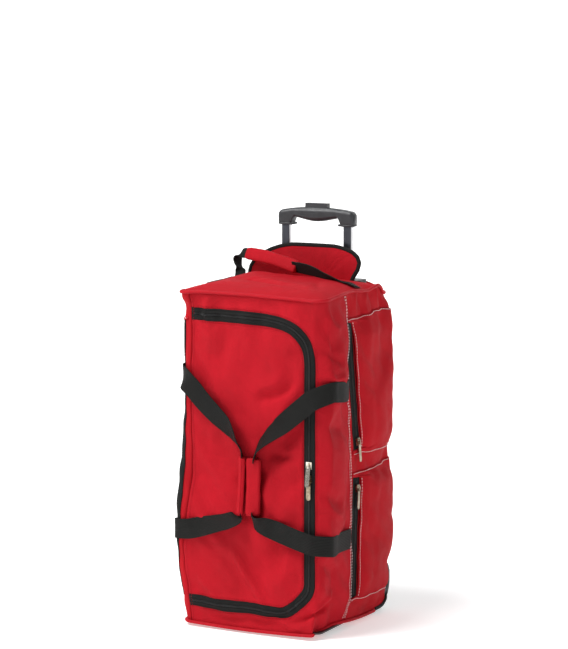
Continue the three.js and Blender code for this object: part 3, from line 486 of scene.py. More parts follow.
def sweep(name, centre, across, section, material, closed=False):
    """A solid along centre[i]; the section's first axis lies along across[i], its second square to that."""
    n = len(centre)
    nxt, prv = np.roll(centre, -1, 0), np.roll(centre, 1, 0)
    tangent = nxt - prv
    if not closed:
        tangent[0], tangent[-1] = centre[1] - centre[0], centre[-1] - centre[-2]
    tangent = unit(tangent)
    side = unit(across - (across * tangent).sum(1, keepdims=True) * tangent)
    up = np.cross(side, tangent)
    section = np.broadcast_to(section, (n,) + np.shape(section)[-2:])
    m = section.shape[1]
    points = centre[:, None] + side[:, None] * section[..., :1] + up[:, None] * section[..., 1:]
    along = np.concatenate([[0], np.cumsum(np.linalg.norm(np.diff(centre, axis=0), axis=1))]) * MM
    ring_gap = np.linalg.norm(np.diff(np.vstack([section[0], section[0][:1]]), axis=0), axis=1)
    around = np.concatenate([[0], np.cumsum(ring_gap)]) * MM
    faces, uvs = [], []
    for i in range(n if closed else n - 1):
        k = (i + 1) % n
        va, vb = along[i], along[i] + (along[k] - along[i] if k else along[1])
        for j in range(m):
            l = (j + 1) % m
            faces.append((i * m + j, i * m + l, k * m + l, k * m + j))
            ua, ub = around[j], around[j + 1]
            uvs += [(ua, va), (ub, va), (ub, vb), (ua, vb)]
    if not closed:
        faces.append(tuple(range(m - 1, -1, -1)))
        faces.append(tuple(range((n - 1) * m, n * m)))
        uvs += [(0, 0)] * (2 * m)
    return make(name, points.reshape(-1, 3), faces, material, uvs)


def strip(name, path, offsets, heights, material, thick=0.9):
    """A band sewn on the wall along path (s, z), made from offsets across it and heights over the wall."""
    tangent = unit(np.gradient(path, axis=0))
    square = np.stack([tangent[:, 1], -tangent[:, 0]], axis=1)
    offsets = np.asarray(offsets, float)
    sz = path[:, None, :] + square[:, None, :] * offsets[None, :, None]
    points = on_wall(sz[..., 0], np.clip(sz[..., 1], BASE, TOP), np.broadcast_to(heights, sz.shape[:2]))
    along = np.concatenate([[0], np.cumsum(np.linalg.norm(np.diff(path, axis=0), axis=1))])
    uv = np.stack(np.broadcast_arrays(offsets[None, :], along[:, None]), axis=-1) * MM
    points, uv = points[:, ::-1], uv[:, ::-1]
    if cross_sign(points) < 0:
        points, uv = points[:, ::-1], uv[:, ::-1]
    return thicken(grid(name, points, material, uv), thick)


def cross_sign(points):
    """Positive if the sheet's quads face away from the bag's middle."""
    i, j = points.shape[0] // 2, points.shape[1] // 2
    n = np.cross(points[i + 1 if i + 1 < points.shape[0] else i, j] - points[i - 1, j],
                 points[i, min(j + 1, points.shape[1] - 1)] - points[i, max(j - 1, 0)])
    centre = np.array([0, (FRONT + BACK) / 2, points[i, j, 2]])
    return float(n @ (points[i, j] - centre))


# One stitch along its length: share of the way, thickness and height over the cloth.
STITCH = ((-0.06, 0.45, 0), (0.12, 0.95, 0.8), (0.5, 1.1, 1.2), (0.88, 0.95, 0.8), (1.06, 0.45, 0))


def dashes(name, paths, material, length=3.4, pitch=5.4, radius=0.5, lift=0.35):
    """Rows of stitches along wall paths of (s, z, height)."""
    verts, faces = [], []
    ring6 = [(math.cos(a), math.sin(a)) for a in np.arange(6) * math.pi / 3]
    for path in paths:
        run = resample(np.array(path, float), pitch, dims=2)
        mid = (run[1:] + run[:-1]) / 2
        way = unit(run[1:, :2] - run[:-1, :2]) * length / 2
        a = on_wall(mid[:, 0] - way[:, 0], mid[:, 1] - way[:, 1], mid[:, 2] + lift * 0.2)
        b = on_wall(mid[:, 0] + way[:, 0], mid[:, 1] + way[:, 1], mid[:, 2] + lift * 0.2)
        n = wall_out(mid[:, 0], mid[:, 1])
        t = unit(b - a)
        side = unit(np.cross(t, n))
        for k in range(len(mid)):
            start = len(verts)
            for f, r, h in STITCH:
                c = a[k] + (b[k] - a[k]) * f + n[k] * lift * h
                verts += [c + radius * r * (side[k] * cx + n[k] * cy) for cx, cy in ring6]
            for q in range(4):
                for j in range(6):
                    faces.append((start + q * 6 + j, start + q * 6 + (j + 1) % 6,
                                  start + q * 6 + 6 + (j + 1) % 6, start + q * 6 + 6 + j))
            faces.append(tuple(start + j for j in range(5, -1, -1)))
            faces.append(tuple(start + 24 + j for j in range(6)))
    return make(name, np.array(verts), [f[::-1] for f in faces], material)


def coil(name, path, lift, material, half=2.6, rise=1.2, pitch=1.9, wire=0.5):
    """The zip's spiral, wound along a wall path (s, z)."""
    fine = resample(path, 0.5, dims=2)
    p = on_wall(fine[:, 0], fine[:, 1], np.full(len(fine), lift))
    n = wall_out(fine[:, 0], fine[:, 1])
    line = resample(np.hstack([p, n]), pitch / 8, dims=3)
    p, n = line[:, :3], unit(line[:, 3:])
    t = unit(np.gradient(p, axis=0))
    side = np.cross(t, n)
    turn = 2 * math.pi * np.arange(len(p)) / 8
    centre = p + side * (half * np.cos(turn))[:, None] + n * (rise * np.sin(turn))[:, None]
    return sweep(name, centre, n, oval(wire, wire, 5), material)


# ---------------------------------------------------------------- materials

def linear(r, g, b):
    """Scene colour of a screen colour given in 0..255."""
    return tuple(((c / 255 + 0.055) / 1.055) ** 2.4 if c > 10 else c / 255 / 12.92
                 for c in (r, g, b)) + (1.0,)


class Look:
    """A procedural material built up node by node."""

    def __init__(self, name, rough, metal=0.0, sheen=0.0, coords="object"):
        self.material = bpy.data.materials.new(name)
        self.material.use_nodes = True
        self.tree = self.material.node_tree
        self.shader = self.tree.nodes["Principled BSDF"]
        self.shader.inputs["Roughness"].default_value = rough
        self.shader.inputs["Metallic"].default_value = metal
        if sheen:
            self.shader.inputs["Sheen Weight"].default_value = sheen
            self.shader.inputs["Sheen Roughness"].default_value = 0.45
        if coords == "object":
            self.place = self.node("ShaderNodeTexCoord").outputs["Object"]
        else:
            uv = self.node("ShaderNodeUVMap")
            uv.uv_map = coords
            self.place = uv.outputs["UV"]
        self.object = self.node("ShaderNodeTexCoord").outputs["Object"]
        self.normal = None

    def node(self, kind, **settings):
        made = self.tree.nodes.new(kind)
        for key, value in settings.items():
            setattr(made, key, value)
        return made

    def math(self, kind, a, b=None):
        made = self.node("ShaderNodeMath", operation=kind)
        for k, value in enumerate((a, b)):
            if value is None:
                continue
            if isinstance(value, (int, float)):
                made.inputs[k].default_value = value
            else:
                self.tree.links.new(value, made.inputs[k])
        return made.outputs[0]

    def noise(self, scale, detail=2.0, rough=0.5, place=None, stretch=(1, 1, 1), distort=0.0):
        mapping = self.node("ShaderNodeMapping")
        mapping.inputs["Scale"].default_value = stretch
        self.tree.links.new(place or self.object, mapping.inputs["Vector"])
        made = self.node("ShaderNodeTexNoise")
        made.inputs["Scale"].default_value = scale
        made.inputs["Detail"].default_value = detail
        made.inputs["Roughness"].default_value = rough
        made.inputs["Distortion"].default_value = distort
        self.tree.links.new(mapping.outputs[0], made.inputs["Vector"])
        return made.outputs["Fac"]

    def remap(self, value, a, b, c, d):
        made = self.node("ShaderNodeMapRange")
        for key, number in zip(("From Min", "From Max", "To Min", "To Max"), (a, b, c, d)):
            made.inputs[key].default_value = number
        self.tree.links.new(value, made.inputs["Value"])
        return made.outputs["Result"]

    def blend(self, factor, a, b):
        made = self.node("ShaderNodeMix", data_type="RGBA")
        self.tree.links.new(factor, made.inputs["Factor"])
        for socket, value in ((made.inputs[6], a), (made.inputs[7], b)):
            if isinstance(value, tuple):
                socket.default_value = value
            else:
                self.tree.links.new(value, socket)
        return made.outputs[2]

    def colour(self, value):
        self.tree.links.new(value, self.shader.inputs["Base Color"])

    def rough(self, value):
        self.tree.links.new(value, self.shader.inputs["Roughness"])

    def bump(self, height, strength, distance):
        made = self.node("ShaderNodeBump")
        made.inputs["Strength"].default_value = strength
        made.inputs["Distance"].default_value = distance
        self.tree.links.new(height, made.inputs["Height"])
        if self.normal is not None:
            self.tree.links.new(self.normal, made.inputs["Normal"])
        self.normal = made.outputs[0]
        self.tree.links.new(self.normal, self.shader.inputs["Normal"])

    def weave(self, pitch_u, pitch_v):
        """Plain weave: threads crossing over and under, 1 on top and -1 in the gaps."""
        split = self.node("ShaderNodeSeparateXYZ")
        self.tree.links.new(self.place, split.inputs[0])
        u = self.math("SINE", self.math("MULTIPLY", split.outputs[0], 2 * math.pi / pitch_u))
        v = self.math("SINE", self.math("MULTIPLY", split.outputs[1], 2 * math.pi / pitch_v))
        return self.math("MULTIPLY", u, v)

    def ribs(self, axis, pitch):
        split = self.node("ShaderNodeSeparateXYZ")
        self.tree.links.new(self.place, split.inputs[0])
        return self.math("SINE", self.math("MULTIPLY", split.outputs[axis], 2 * math.pi / pitch))


def cloth(name, light, dark, pitch=0.00062, rough=0.78, sheen=0.0, lumps=0.0009):
    look = Look(name, rough, sheen=sheen, coords="weave")
    look.shader.inputs["Sheen Tint"].default_value = light
    look.shader.inputs["Specular IOR Level"].default_value = 0.14
    cloud = look.noise(7, 4, 0.6)
    thread = look.noise(900, 2, 0.6)
    streak = look.noise(60, 3, 0.6, stretch=(1, 1, 0.12))
    shade = look.math("ADD", look.math("MULTIPLY", cloud, 0.5), look.math("MULTIPLY", thread, 0.3))
    shade = look.math("ADD", shade, look.math("MULTIPLY", streak, 0.2))
    weave = look.weave(pitch, pitch)
    shade = look.math("ADD", shade, look.math("MULTIPLY", weave, 0.10))
    look.colour(look.blend(look.remap(shade, 0.30, 0.70, 0, 1), dark, light))
    look.rough(look.remap(cloud, 0.3, 0.7, rough - 0.05, rough + 0.07))
    look.bump(look.noise(15, 4, 0.55, distort=1.2), 0.7, 4.5 * lumps)
    look.bump(look.noise(42, 3, 0.5, distort=0.6), 0.5, lumps)
    look.bump(look.noise(170, 2, 0.5), 0.35, 0.00022)
    look.bump(weave, 0.55, 0.00010)
    return look.material


def webbing(name, light, dark, rough=0.62):
    look = Look(name, rough, coords="weave")
    look.shader.inputs["Specular IOR Level"].default_value = 0.16
    ribs = look.ribs(0, 0.0021)
    picks = look.weave(0.0021, 0.0016)
    fuzz = look.noise(700, 2, 0.6)
    cloud = look.noise(25, 3, 0.6)
    shade = look.math("ADD", look.math("MULTIPLY", ribs, 0.16), look.math("MULTIPLY", fuzz, 0.5))
    shade = look.math("ADD", shade, look.math("MULTIPLY", cloud, 0.5))
    look.colour(look.blend(look.remap(shade, 0.2, 0.8, 0, 1), dark, light))
    look.bump(look.noise(60, 2, 0.5), 0.4, 0.0006)
    look.bump(ribs, 0.7, 0.00030)
    look.bump(picks, 0.6, 0.00022)
    return look.material


def plastic(name, light, dark, rough=0.42, grain=0.00006):
    look = Look(name, rough)
    cloud = look.noise(30, 4, 0.6)
    look.colour(look.blend(look.remap(cloud, 0.3, 0.7, 0, 1), dark, light))
    scuff = look.noise(120, 4, 0.7, stretch=(1, 1, 0.3))
    look.rough(look.remap(scuff, 0.35, 0.7, rough - 0.07, rough + 0.12))
    look.bump(look.noise(1500, 2, 0.6), 0.6, grain)
    look.bump(cloud, 0.2, 0.0004)
    return look.material


def metal(name, light, dark, rough=0.28, brushed=(1, 1, 1), strength=0.3):
    look = Look(name, rough, metal=1.0)
    hair = look.noise(420, 3, 0.6, stretch=brushed)
    cloud = look.noise(140, 3, 0.6)
    look.colour(look.blend(look.remap(cloud, 0.3, 0.7, 0, 1), dark, light))
    look.rough(look.remap(hair, 0.3, 0.7, rough - 0.08, rough + 0.12))
    look.bump(hair, strength, 0.00008)
    return look.material


def two_sided_tube(name):
    """Anodised grey on the broad faces, bright bare metal on the narrow ones."""
    look = Look(name, 0.34, metal=0.9)
    normal = look.node("ShaderNodeTexCoord").outputs["Normal"]
    split = look.node("ShaderNodeSeparateXYZ")
    look.tree.links.new(normal, split.inputs[0])
    edge = look.remap(look.math("ABSOLUTE", split.outputs[0]), 0.55, 0.8, 0, 1)
    hair = look.noise(500, 3, 0.6, stretch=(1, 1, 0.02))
    grey = look.blend(look.remap(hair, 0.3, 0.7, 0, 1), linear(70, 72, 78), linear(86, 89, 96))
    look.colour(look.blend(edge, grey, linear(236, 236, 238)))
    look.rough(look.remap(hair, 0.3, 0.7, 0.26, 0.42))
    look.bump(hair, 0.25, 0.00005)
    return look.material


RED_LIGHT, RED_DARK = linear(186, 19, 35), linear(154, 11, 23)
SIDE_LIGHT, SIDE_DARK = linear(184, 19, 32), linear(158, 11, 22)
red = cloth("red_polyester", RED_LIGHT, RED_DARK)
red_side = cloth("dark_red_polyester", SIDE_LIGHT, SIDE_DARK)
red_trim = cloth("red_piping", linear(188, 20, 36), linear(160, 12, 26), rough=0.6, lumps=0.0003)
black_cloth = cloth("black_polyester", linear(38, 38, 41), linear(24, 24, 26), sheen=0.1)
tape = webbing("zip_tape_black", linear(27, 27, 26), linear(14, 14, 13), rough=0.7)
web = webbing("webbing_black", linear(26, 26, 24), linear(13, 13, 12))
binding = webbing("binding_black", linear(30, 30, 29), linear(16, 16, 15), rough=0.55)
coil_black = plastic("zip_coil_black", linear(38, 38, 39), linear(24, 24, 25), rough=0.58)
thread_white = cloth("thread_white", linear(242, 222, 222), linear(226, 196, 198), rough=0.5, lumps=0.0001)
thread_black = cloth("thread_black", linear(36, 36, 38), linear(22, 22, 24), rough=0.5, lumps=0.0001)
thread_red = cloth("thread_red", linear(170, 20, 34), linear(140, 10, 24), rough=0.5, lumps=0.0001)
shell_plastic = plastic("moulded_black", linear(40, 41, 43), linear(28, 29, 31), rough=0.44)
grip_plastic = plastic("grip_black", linear(52, 53, 56), linear(34, 35, 37), rough=0.36, grain=0.00004)
inner_plastic = plastic("inner_black", linear(36, 36, 38), linear(24, 24, 26), rough=0.5)
rubber = plastic("wheel_rubber", linear(44, 44, 46), linear(28, 28, 30), rough=0.7, grain=0.0001)
hub_plastic = plastic("hub_grey", linear(110, 112, 116), linear(88, 90, 94), rough=0.4)
tube_metal = two_sided_tube("tube_anodised")
steel = metal("steel", linear(200, 200, 202), linear(168, 168, 170), 0.25, (1, 1, 0.05))
nickel = metal("nickel", linear(238, 232, 220), linear(196, 186, 166), 0.2)
bronze = metal("bronze", linear(176, 162, 140), linear(112, 98, 80), 0.24)


def dress(nodes, material, bevel=0.0):
    """Gives CAD nodes a material, and softens their edges."""
    for node in nodes:
        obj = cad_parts[node]
        obj.data.materials.clear()
        obj.data.materials.append(material)
        if bevel:
            mod = obj.modifiers.new("edge", "BEVEL")
            mod.width = bevel * MM
            mod.segments = 3
            mod.limit_method = "ANGLE"
            mod.angle_limit = math.radians(38)
            mod.harden_normals = True
            obj.data.polygons.foreach_set("use_smooth", [True] * len(obj.data.polygons))


# ---------------------------------------------------------------- seams of the wall

def zip_y(level, side, z):
    (y0, z0), (y1, z1) = POCKET_ZIPS[level, side]
    return y0 + (y1 - y0) * (z - z0) / (z1 - z0)


def right_seam(z):
    """y of the stitched seam just ahead of the pocket zips."""
    up, low = POCKET_ZIPS["upper", 1], POCKET_ZIPS["lower", 1]
    keys = [(BASE, -46), (BASE + 24, -33), (low[1][1] + 30, low[1][0] - 16), (low[0][1] - 90, low[0][0] - 22),
            (low[0][1], low[0][0] - 19), (up[1][1] + 30, up[1][0] - 30), (up[1][1] + 140, up[1][0] - 44),
            (up[0][1] - 40, up[0][0] - 16), (up[0][1] + 6, up[0][0] - 17), (TOP, up[0][0] - 20)]
    keys = np.array(keys, float)
    return np.interp(z, keys[:, 0], keys[:, 1])


def smooth_seam(z):
    z = np.asarray(z, float)
    return sum(right_seam(np.clip(z + d, BASE, TOP)) for d in (-24, -12, 0, 12, 24)) / 5


def seam_s(z):
    return side_s(smooth_seam(z))


def left_seam(z):
    """The corded seam down the left front, nearer the middle where the bag is fullest."""
    z = np.asarray(z, float)
    return LEFT_SEAM + 8.0 * bell(z - 330, 90) - 5.0 * bell(z - 150, 55)


BACK_SEAM = back_s(box("back_panel")[1][0])
STEP = 4.0


def seam_dip(d, depth=1.3, width=4.0):
    """Cloth turns in along a seam: how far, at distance d from it."""
    return -depth * np.exp(-(d / width) ** 2)


def panel(name, left, right, bottom, top, material, height=None, keep=None, step=STEP, thick=1.1,
          rise=None):
    """A piece of the wall between two edges, which may move with z, as a thin solid."""
    zs = np.linspace(bottom, top, max(3, int((top - bottom) / step)))
    a = left(zs) if callable(left) else np.full_like(zs, left)
    b = right(zs) if callable(right) else np.full_like(zs, right)
    n = max(3, int(np.max(b - a) / step))
    t = np.linspace(0, 1, n)[:, None]
    s = a[None] + (b - a)[None] * t
    z = np.broadcast_to(zs, s.shape)
    off = np.zeros_like(s) if height is None else height(s, z)
    points = on_wall(s, z if rise is None else z + rise(s, z), off)
    uv = np.stack([s, z], axis=-1) * MM
    kept = None
    if keep is not None:
        kept = keep((s[:-1, :-1] + s[1:, 1:]) / 2, (z[:-1, :-1] + z[1:, 1:]) / 2)
    return thicken(grid(name, points, material, uv, kept), thick)


def main_zip_path(step=3.0):
    """Middle of the U-shaped zip, from the left seam over the top and back along the foot."""
    x, hi, lo = ZIP_X, ZIP_TOP, ZIP_LOW
    points = [(LEFT_SEAM, hi + 1), (-80, hi + 2), (-20, hi + 1.5), (40, hi - 1), (72, hi - 6), (98, hi - 16),
              (116, hi - 34), (x - 4, hi - 56), (x, hi - 82), (x, hi - 140), (x, 400), (x, 260), (x, lo + 70),
              (x - 0.5, lo + 50), (x - 6, lo + 36), (x - 22, lo + 18), (x - 42, lo + 3), (x - 58, lo - 4),
              (x - 80, lo - 3), (0, lo), (-70, lo - 2), (LEFT_SEAM, lo - 2)]
    return curve_2d(points, step)


def curve_2d(points, step):
    flat = [(a, b, 0.0) for a, b in points]
    return curve_through(flat, step)[:, :2]


zip_path = main_zip_path()
dense = resample(zip_path, 1.5, dims=2)


def inside_lid(s, z):
    """Which points lie within the U of the main zip."""
    hit = np.zeros(np.shape(s), bool)
    xs, zs = zip_path[:, 0], zip_path[:, 1]
    for k in range(len(zip_path) - 1):
        up = (zs[k] > z) != (zs[k + 1] > z)
        cross = xs[k] + (z - zs[k]) * (xs[k + 1] - xs[k]) / (zs[k + 1] - zs[k] + 1e-9)
        hit ^= up & (s < cross)
    return hit


def by_zip(s, z):
    """How near a point is to the main zip's middle."""
    near = np.full(np.shape(s), 1e9)
    for px, pz in dense[::2]:
        near = np.minimum(near, (s - px) ** 2 + (z - pz) ** 2)
    return np.sqrt(near)


def front_height(s, z):
    d = by_zip(s, z)
    return (seam_dip(np.abs(s - left_seam(z)), 1.6, 3.5) + seam_dip(np.abs(s - seam_s(z)), 0.8, 3)
            - 1.0 * (1 - ease(6, 11, d)) + 0.9 * bell(d - 16, 4))


def side_height(s, z):
    near = np.minimum(np.abs(s - seam_s(z)), np.abs(np.abs(s) - BACK_SEAM))
    near = np.minimum(near, np.abs(s - left_seam(z)))
    return seam_dip(near, 1.0, 3.5)


# The rounded cut round each wheel housing, at the bag's lower rear corners.
HOUSING_LO, HOUSING_HI = box("wheel_housing_right")
GUARD_R = 54.0
GUARD_BACK = 6.0
GUARD_Y = HOUSING_HI[1] - GUARD_R
GUARD_Z = HOUSING_LO[2] + GUARD_R


def beyond_guard(s, z):
    """True where the cloth is cut away for a wheel housing."""
    a = np.abs(wrap(s))
    y = np.where(a < side_s(BACK - CORNER_R), a - side_s(0), BACK)
    rear = a > side_s(BACK - CORNER_R)
    r = GUARD_R - GUARD_BACK
    cut_round = (y > GUARD_Y) & (z < GUARD_Z) & (np.hypot(y - GUARD_Y, z - GUARD_Z) > r)
    over = (a >= back_s(HOUSING_HI[0] + 3)) & (a < back_s(HOUSING_LO[0] - 1)) & (z < HOUSING_HI[2] - 1)
    return cut_round & ~rear | over & rear | rear & (z < GUARD_Z) & (a < back_s(HOUSING_LO[0] - 1))


def not_cut(s, z):
    return ~beyond_guard(s, z)


LOW, HIGH = BASE + 1.5, TOP - 0.5
front = panel("front_fabric", left_seam, seam_s, LOW, HIGH, red, front_height,
              lambda s, z: ~inside_lid(s, z), step=3.2)
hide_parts("front_panel")
lid = panel("lid_fabric", left_seam, ZIP_X + 4, ZIP_LOW - 10, ZIP_TOP + 8, red, front_height,
            inside_lid, step=3.2)
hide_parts("lid_panel")
right_side = panel("right_side_fabric", seam_s, BACK_SEAM, LOW, HIGH, red_side, side_height, not_cut)
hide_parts("right_side_panel")
left_side = panel("left_side_fabric", -BACK_SEAM, left_seam, LOW, HIGH, red_side, side_height, not_cut)
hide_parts("left_side_panel")
back = panel("back_fabric", BACK_SEAM, PERIMETER - BACK_SEAM, LOW, HIGH, black_cloth,
             lambda s, z: seam_dip(np.minimum(s - BACK_SEAM, PERIMETER - BACK_SEAM - s), 1.0, 3.5), not_cut)
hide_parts("back_panel")
for piece, slot_name in ((front, "red_fabric"), (lid, "red_fabric"), (right_side, "side_fabric"),
                         (left_side, "side_fabric"), (back, "black_fabric")):
    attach(piece, "root")


# ---------------------------------------------------------------- top, floor and piping

BEZEL_LO, BEZEL_HI = box("top_bezel")


def crown(x, y, t):
    """Height of the top panel over its edge; t is 0 in the middle and 1 at the edge."""
    calm = 1 - 0.62 * ease(50, 108, y)
    swell = (17 + 9 * ease(20, -110, x) * ease(-60, 60, y)) * (1 - t ** 5) * calm
    swell += 2.0 * np.sin(x / 31 + y / 47) * np.sin(y / 29 - 1) * (1 - t ** 2)
    swell -= 3.0 * bell(x - 70 + 0.5 * y, 10) * bell(y + 60, 70) * (1 - t ** 3)
    swell -= 3.6 * bell(0.45 * x + y + 70, 8) * bell(x + 20, 90) * (1 - t ** 3)
    swell += 2.6 * bell(0.45 * x + y + 50, 11) * bell(x + 10, 90) * (1 - t ** 3)
    swell += 1.8 * bell(x + 40 - 0.7 * y, 12) * bell(y + 40, 70) * (1 - t ** 3)
    return swell


TOP_SURFACE = []


def end_panel(name, level, rise, material, top):
    """The panel across the top or foot: rings drawn in from the wall's edge."""
    s = -HALF_P + PERIMETER * np.arange(240) / 240
    edge = wall(s, np.full_like(s, level))
    centre = np.array([0, (FRONT + BACK) / 2, edge[:, 2].mean()])
    t = np.concatenate([np.linspace(0.0, 0.9, 27), [0.93, 0.955, 0.975, 0.99, 1.0]])
    points = centre + (edge[:, None] - centre) * t[None, :, None]
    flat = edge[:, 2].mean()
    points[..., 2] = flat + (edge[:, None, 2] - flat) * t[None, :] ** 3
    lift = rise(points[..., 0], points[..., 1], np.broadcast_to(t, points.shape[:2]))
    points[..., 2] += lift
    uv = points[..., :2] * MM
    mid = (points[:, :-1] + points[:, 1:]) / 2
    if top:
        keep = ~((np.abs(mid[..., 0]) < BEZEL_HI[0] - 7) & (mid[..., 1] > BEZEL_LO[1] + 7)
                 & (mid[..., 1] < BEZEL_HI[1] - 7))
    else:
        keep = ~((np.abs(mid[..., 0]) > HOUSING_LO[0] - 2) & (mid[..., 1] > HOUSING_LO[1] - 2))
    # the faces look outwards: up on the top panel, down on the foot
    points, uv, keep = points[::-1], uv[::-1], np.roll(keep[::-1], -1, 0)
    if top:
        points, uv, keep = points[:, ::-1], uv[:, ::-1], keep[:, ::-1]
    obj = grid(name, points, material, uv, keep, around=True)
    work = bmesh.new()
    work.from_mesh(obj.data)
    bmesh.ops.remove_doubles(work, verts=work.verts, dist=0.00001)
    work.to_mesh(obj.data)
    work.free()
    if top:
        TOP_SURFACE.append(points.reshape(-1, 3))
    return thicken(obj, 1.1)


def over_top(x, y, clear):
    """Height of a point held clear of the top panel."""
    points = TOP_SURFACE[0]
    near = np.hypot(points[:, 0] - x, points[:, 1] - y)
    return float(points[near < 12, 2].max() if (near < 12).any() else TOP) + clear


top_panel = end_panel("top_fabric", TOP - 0.5, crown, red, True)
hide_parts("top_end_panel")
floor_panel = end_panel("foot_fabric", LOW, lambda x, y, t: 0 * x, red_side, False)
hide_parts("bottom_end_panel")
for piece, slot_name in ((top_panel, "red_fabric"), (floor_panel, "side_fabric")):
    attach(piece, "root")


def piping(name, level, lift, spans, out=2.4, radius=PIPING_R):
    """A corded edge round the bag at one height, from s to s."""
    s0, s1 = spans
    closed = s1 - s0 > PERIMETER - 1
    s = np.linspace(s0, s1, int((s1 - s0) / 4) + 1)
    if closed:
        s = s[:-1]
    _, _, nx, ny = ring(s)
    p = wall(s, np.full_like(s, level))
    p = p + np.stack([nx, ny, 0 * nx], axis=1) * out
    p[:, 2] += lift
    up = np.zeros_like(p)
    up[:, 2] = 1
    return sweep(name, p, up, oval(radius, radius, 14), red_trim, closed)


top_piping = piping("top_piping_cord", TOP, -1.0, (-HALF_P, HALF_P))
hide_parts("top_piping")
REACH = side_s(HOUSING_LO[1] - 6)
foot_piping = piping("foot_piping_cord", BASE + 1, 0.4, (-REACH, REACH))
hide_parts("bottom_piping")
for piece in (top_piping, foot_piping):
    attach(piece, "root")


# ---------------------------------------------------------------- zips

def add_zip(name, path, half, node, coil_name):
    """Tape with a raised coil down its middle, along a wall path."""
    side = np.array([-1, -0.93, -0.72, -0.45, -0.34, -0.24, -0.14, 0,
                     0.14, 0.24, 0.34, 0.45, 0.72, 0.93, 1.0])
    rise = np.array([0.2, 0.9, 1.0, 1.1, 1.9, 1.6, 0.8, 0.7, 0.8, 1.6, 1.9, 1.1, 1.0, 0.9, 0.2])
    band = strip(name, path, side * half, rise, tape, 0.8)
    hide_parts(node)
    wound = coil(coil_name, path[2:-2], 1.6, coil_black, half=1.7, rise=0.85)
    for piece in (band, wound):
        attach(piece, "root")


add_zip("main_zip_tape", zip_path, ZIP_W / 2, "main_zip", "main_zip_coil")
SIDES = (("right", 1), ("left", -1))
for side_name, side in SIDES:
    for level in ("upper", "lower"):
        (y0, z0), (y1, z1) = POCKET_ZIPS[level, side]
        path = resample(np.array([[side * side_s(y0), z0], [side * side_s(y1), z1]]), 4.0, dims=2)
        node = level + "_zip_" + side_name
        add_zip(node + "_tape", path, POCKET_TAPE / 2, node, node + "_coil")


# ---------------------------------------------------------------- pockets

def pocket(level, side_name, side):
    """A puffed patch pocket sewn down at its top, foot and rear, open along its zip."""
    node = level + "_pocket_" + side_name
    lo, hi = box(node)
    reach = back_s(BACK_SEAM_X + 16)
    front_edge = POCKET_TAPE / 2 + 1.0
    bottom, top = lo[2], hi[2]

    (_, zip_hi), (_, zip_lo) = POCKET_ZIPS[level, side]

    def near(z):
        """The pocket's front edge: behind its zip, and out to the seam past the zip's ends."""
        z = np.asarray(z, float)
        behind = side_s(zip_y(level, side, z) + front_edge)
        ahead = side_s(zip_y(level, side, z) - front_edge - 4)
        return np.where((z > zip_hi - 1) | (z < zip_lo + 1), ahead, behind)

    def height(s, z):
        a = np.abs(s)
        hem = np.minimum(z - bottom, top - z)
        puff = ease(3, 44, hem) * ease(-4, 30, reach - a)
        lip = 2.6 + 4.0 * ease(0, 22, a - near(z))
        body = lip * (0.35 + 0.65 * puff) + 4.0 * puff * bell(a - near(z) - 60, 55)
        fold = (1.2 * np.sin(a / 17 + 0.02 * z) * np.sin(z / 41 + 0.5)
                + 1.3 * np.sin(z / 12 + a / 23) * bell(hem - 14, 13))
        wear = 1.6 * bell(a - near(z) - 40 - 0.12 * (z - bottom), 11)
        return 1.0 * ease(0, 2, hem) + body * ease(0, 6, hem) + (fold - wear) * puff * ease(10, 70, reach - a)

    def rise(s, z):
        return 6.0 * ease(0, 120, np.abs(s) - near(zip_hi - 9)) * ease(bottom + 60, top, z)

    edges = (near, reach) if side > 0 else (-reach, lambda z: -near(z))
    keep = None
    if level == "lower":
        def keep(s, z):
            return ~beyond_guard(s, z)
    made = panel(node + "_fabric", edges[0], edges[1], bottom, top, red_side, height, keep, 3.4, 1.3, rise)
    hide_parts(node)
    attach(made, "root")
    zs = np.linspace(zip_lo + 3, zip_hi - 3, 60)
    a = near(zs) + 2.5
    rows = [list(zip(side * a, zs + rise(a, zs), height(a, zs) + 0.9))]
    for z in (top - 3.5, bottom + 4.0):
        stop = reach if level == "upper" or z > bottom + 20 else side_s(GUARD_Y + 6)
        a = np.linspace(float(near(z)) + 1.5, stop, 50)
        zs = np.full(50, z)
        rows.append(list(zip(side * a, zs + rise(a, zs), height(a, zs) + 0.9)))
    return rows


BACK_SEAM_X = box("back_panel")[1][0]
white_rows = []
for side_name, side in SIDES:
    for level in ("upper", "lower"):
        white_rows += pocket(level, side_name, side)
zs = np.linspace(BASE + 8, TOP - 6, 160)
for d in (-7.2, -1.2):
    s = seam_s(zs) + d
    white_rows.append(list(zip(s, zs, np.full(160, 0.9))))
stitch = dashes("side_stitching", white_rows, thread_white, length=2.9, pitch=5.8, radius=0.72, lift=0.5)
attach(stitch, "root")

# red topstitching beside the main zip and along the left seam
offset_rows = []
tangent = unit(np.gradient(zip_path, axis=0))
square = np.stack([tangent[:, 1], -tangent[:, 0]], axis=1)
for d in (-ZIP_W / 2 - 2.4, ZIP_W / 2 + 2.4):
    row = (zip_path + square * d)[6:-6]
    offset_rows.append([(a, b, 1.0) for a, b in row])
zs = np.linspace(BASE + 10, TOP - 10, 150)
offset_rows.append(list(zip(left_seam(zs) + 4.5, zs, np.full(150, 0.7))))
red_stitch = dashes("front_topstitching", offset_rows, thread_red,
                    length=2.8, pitch=4.4, radius=0.42, lift=0.3)
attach(red_stitch, "root")
tape_rows = []
for d in (-ZIP_W / 2 + 2.2, ZIP_W / 2 - 2.2):
    row = (zip_path + square * d)[4:-4]
    tape_rows.append([(a, b, 1.5) for a, b in row])
tape_stitch = dashes("zip_stitching", tape_rows, thread_black, length=2.6, pitch=4.0, radius=0.4, lift=0.3)
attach(tape_stitch, "root")


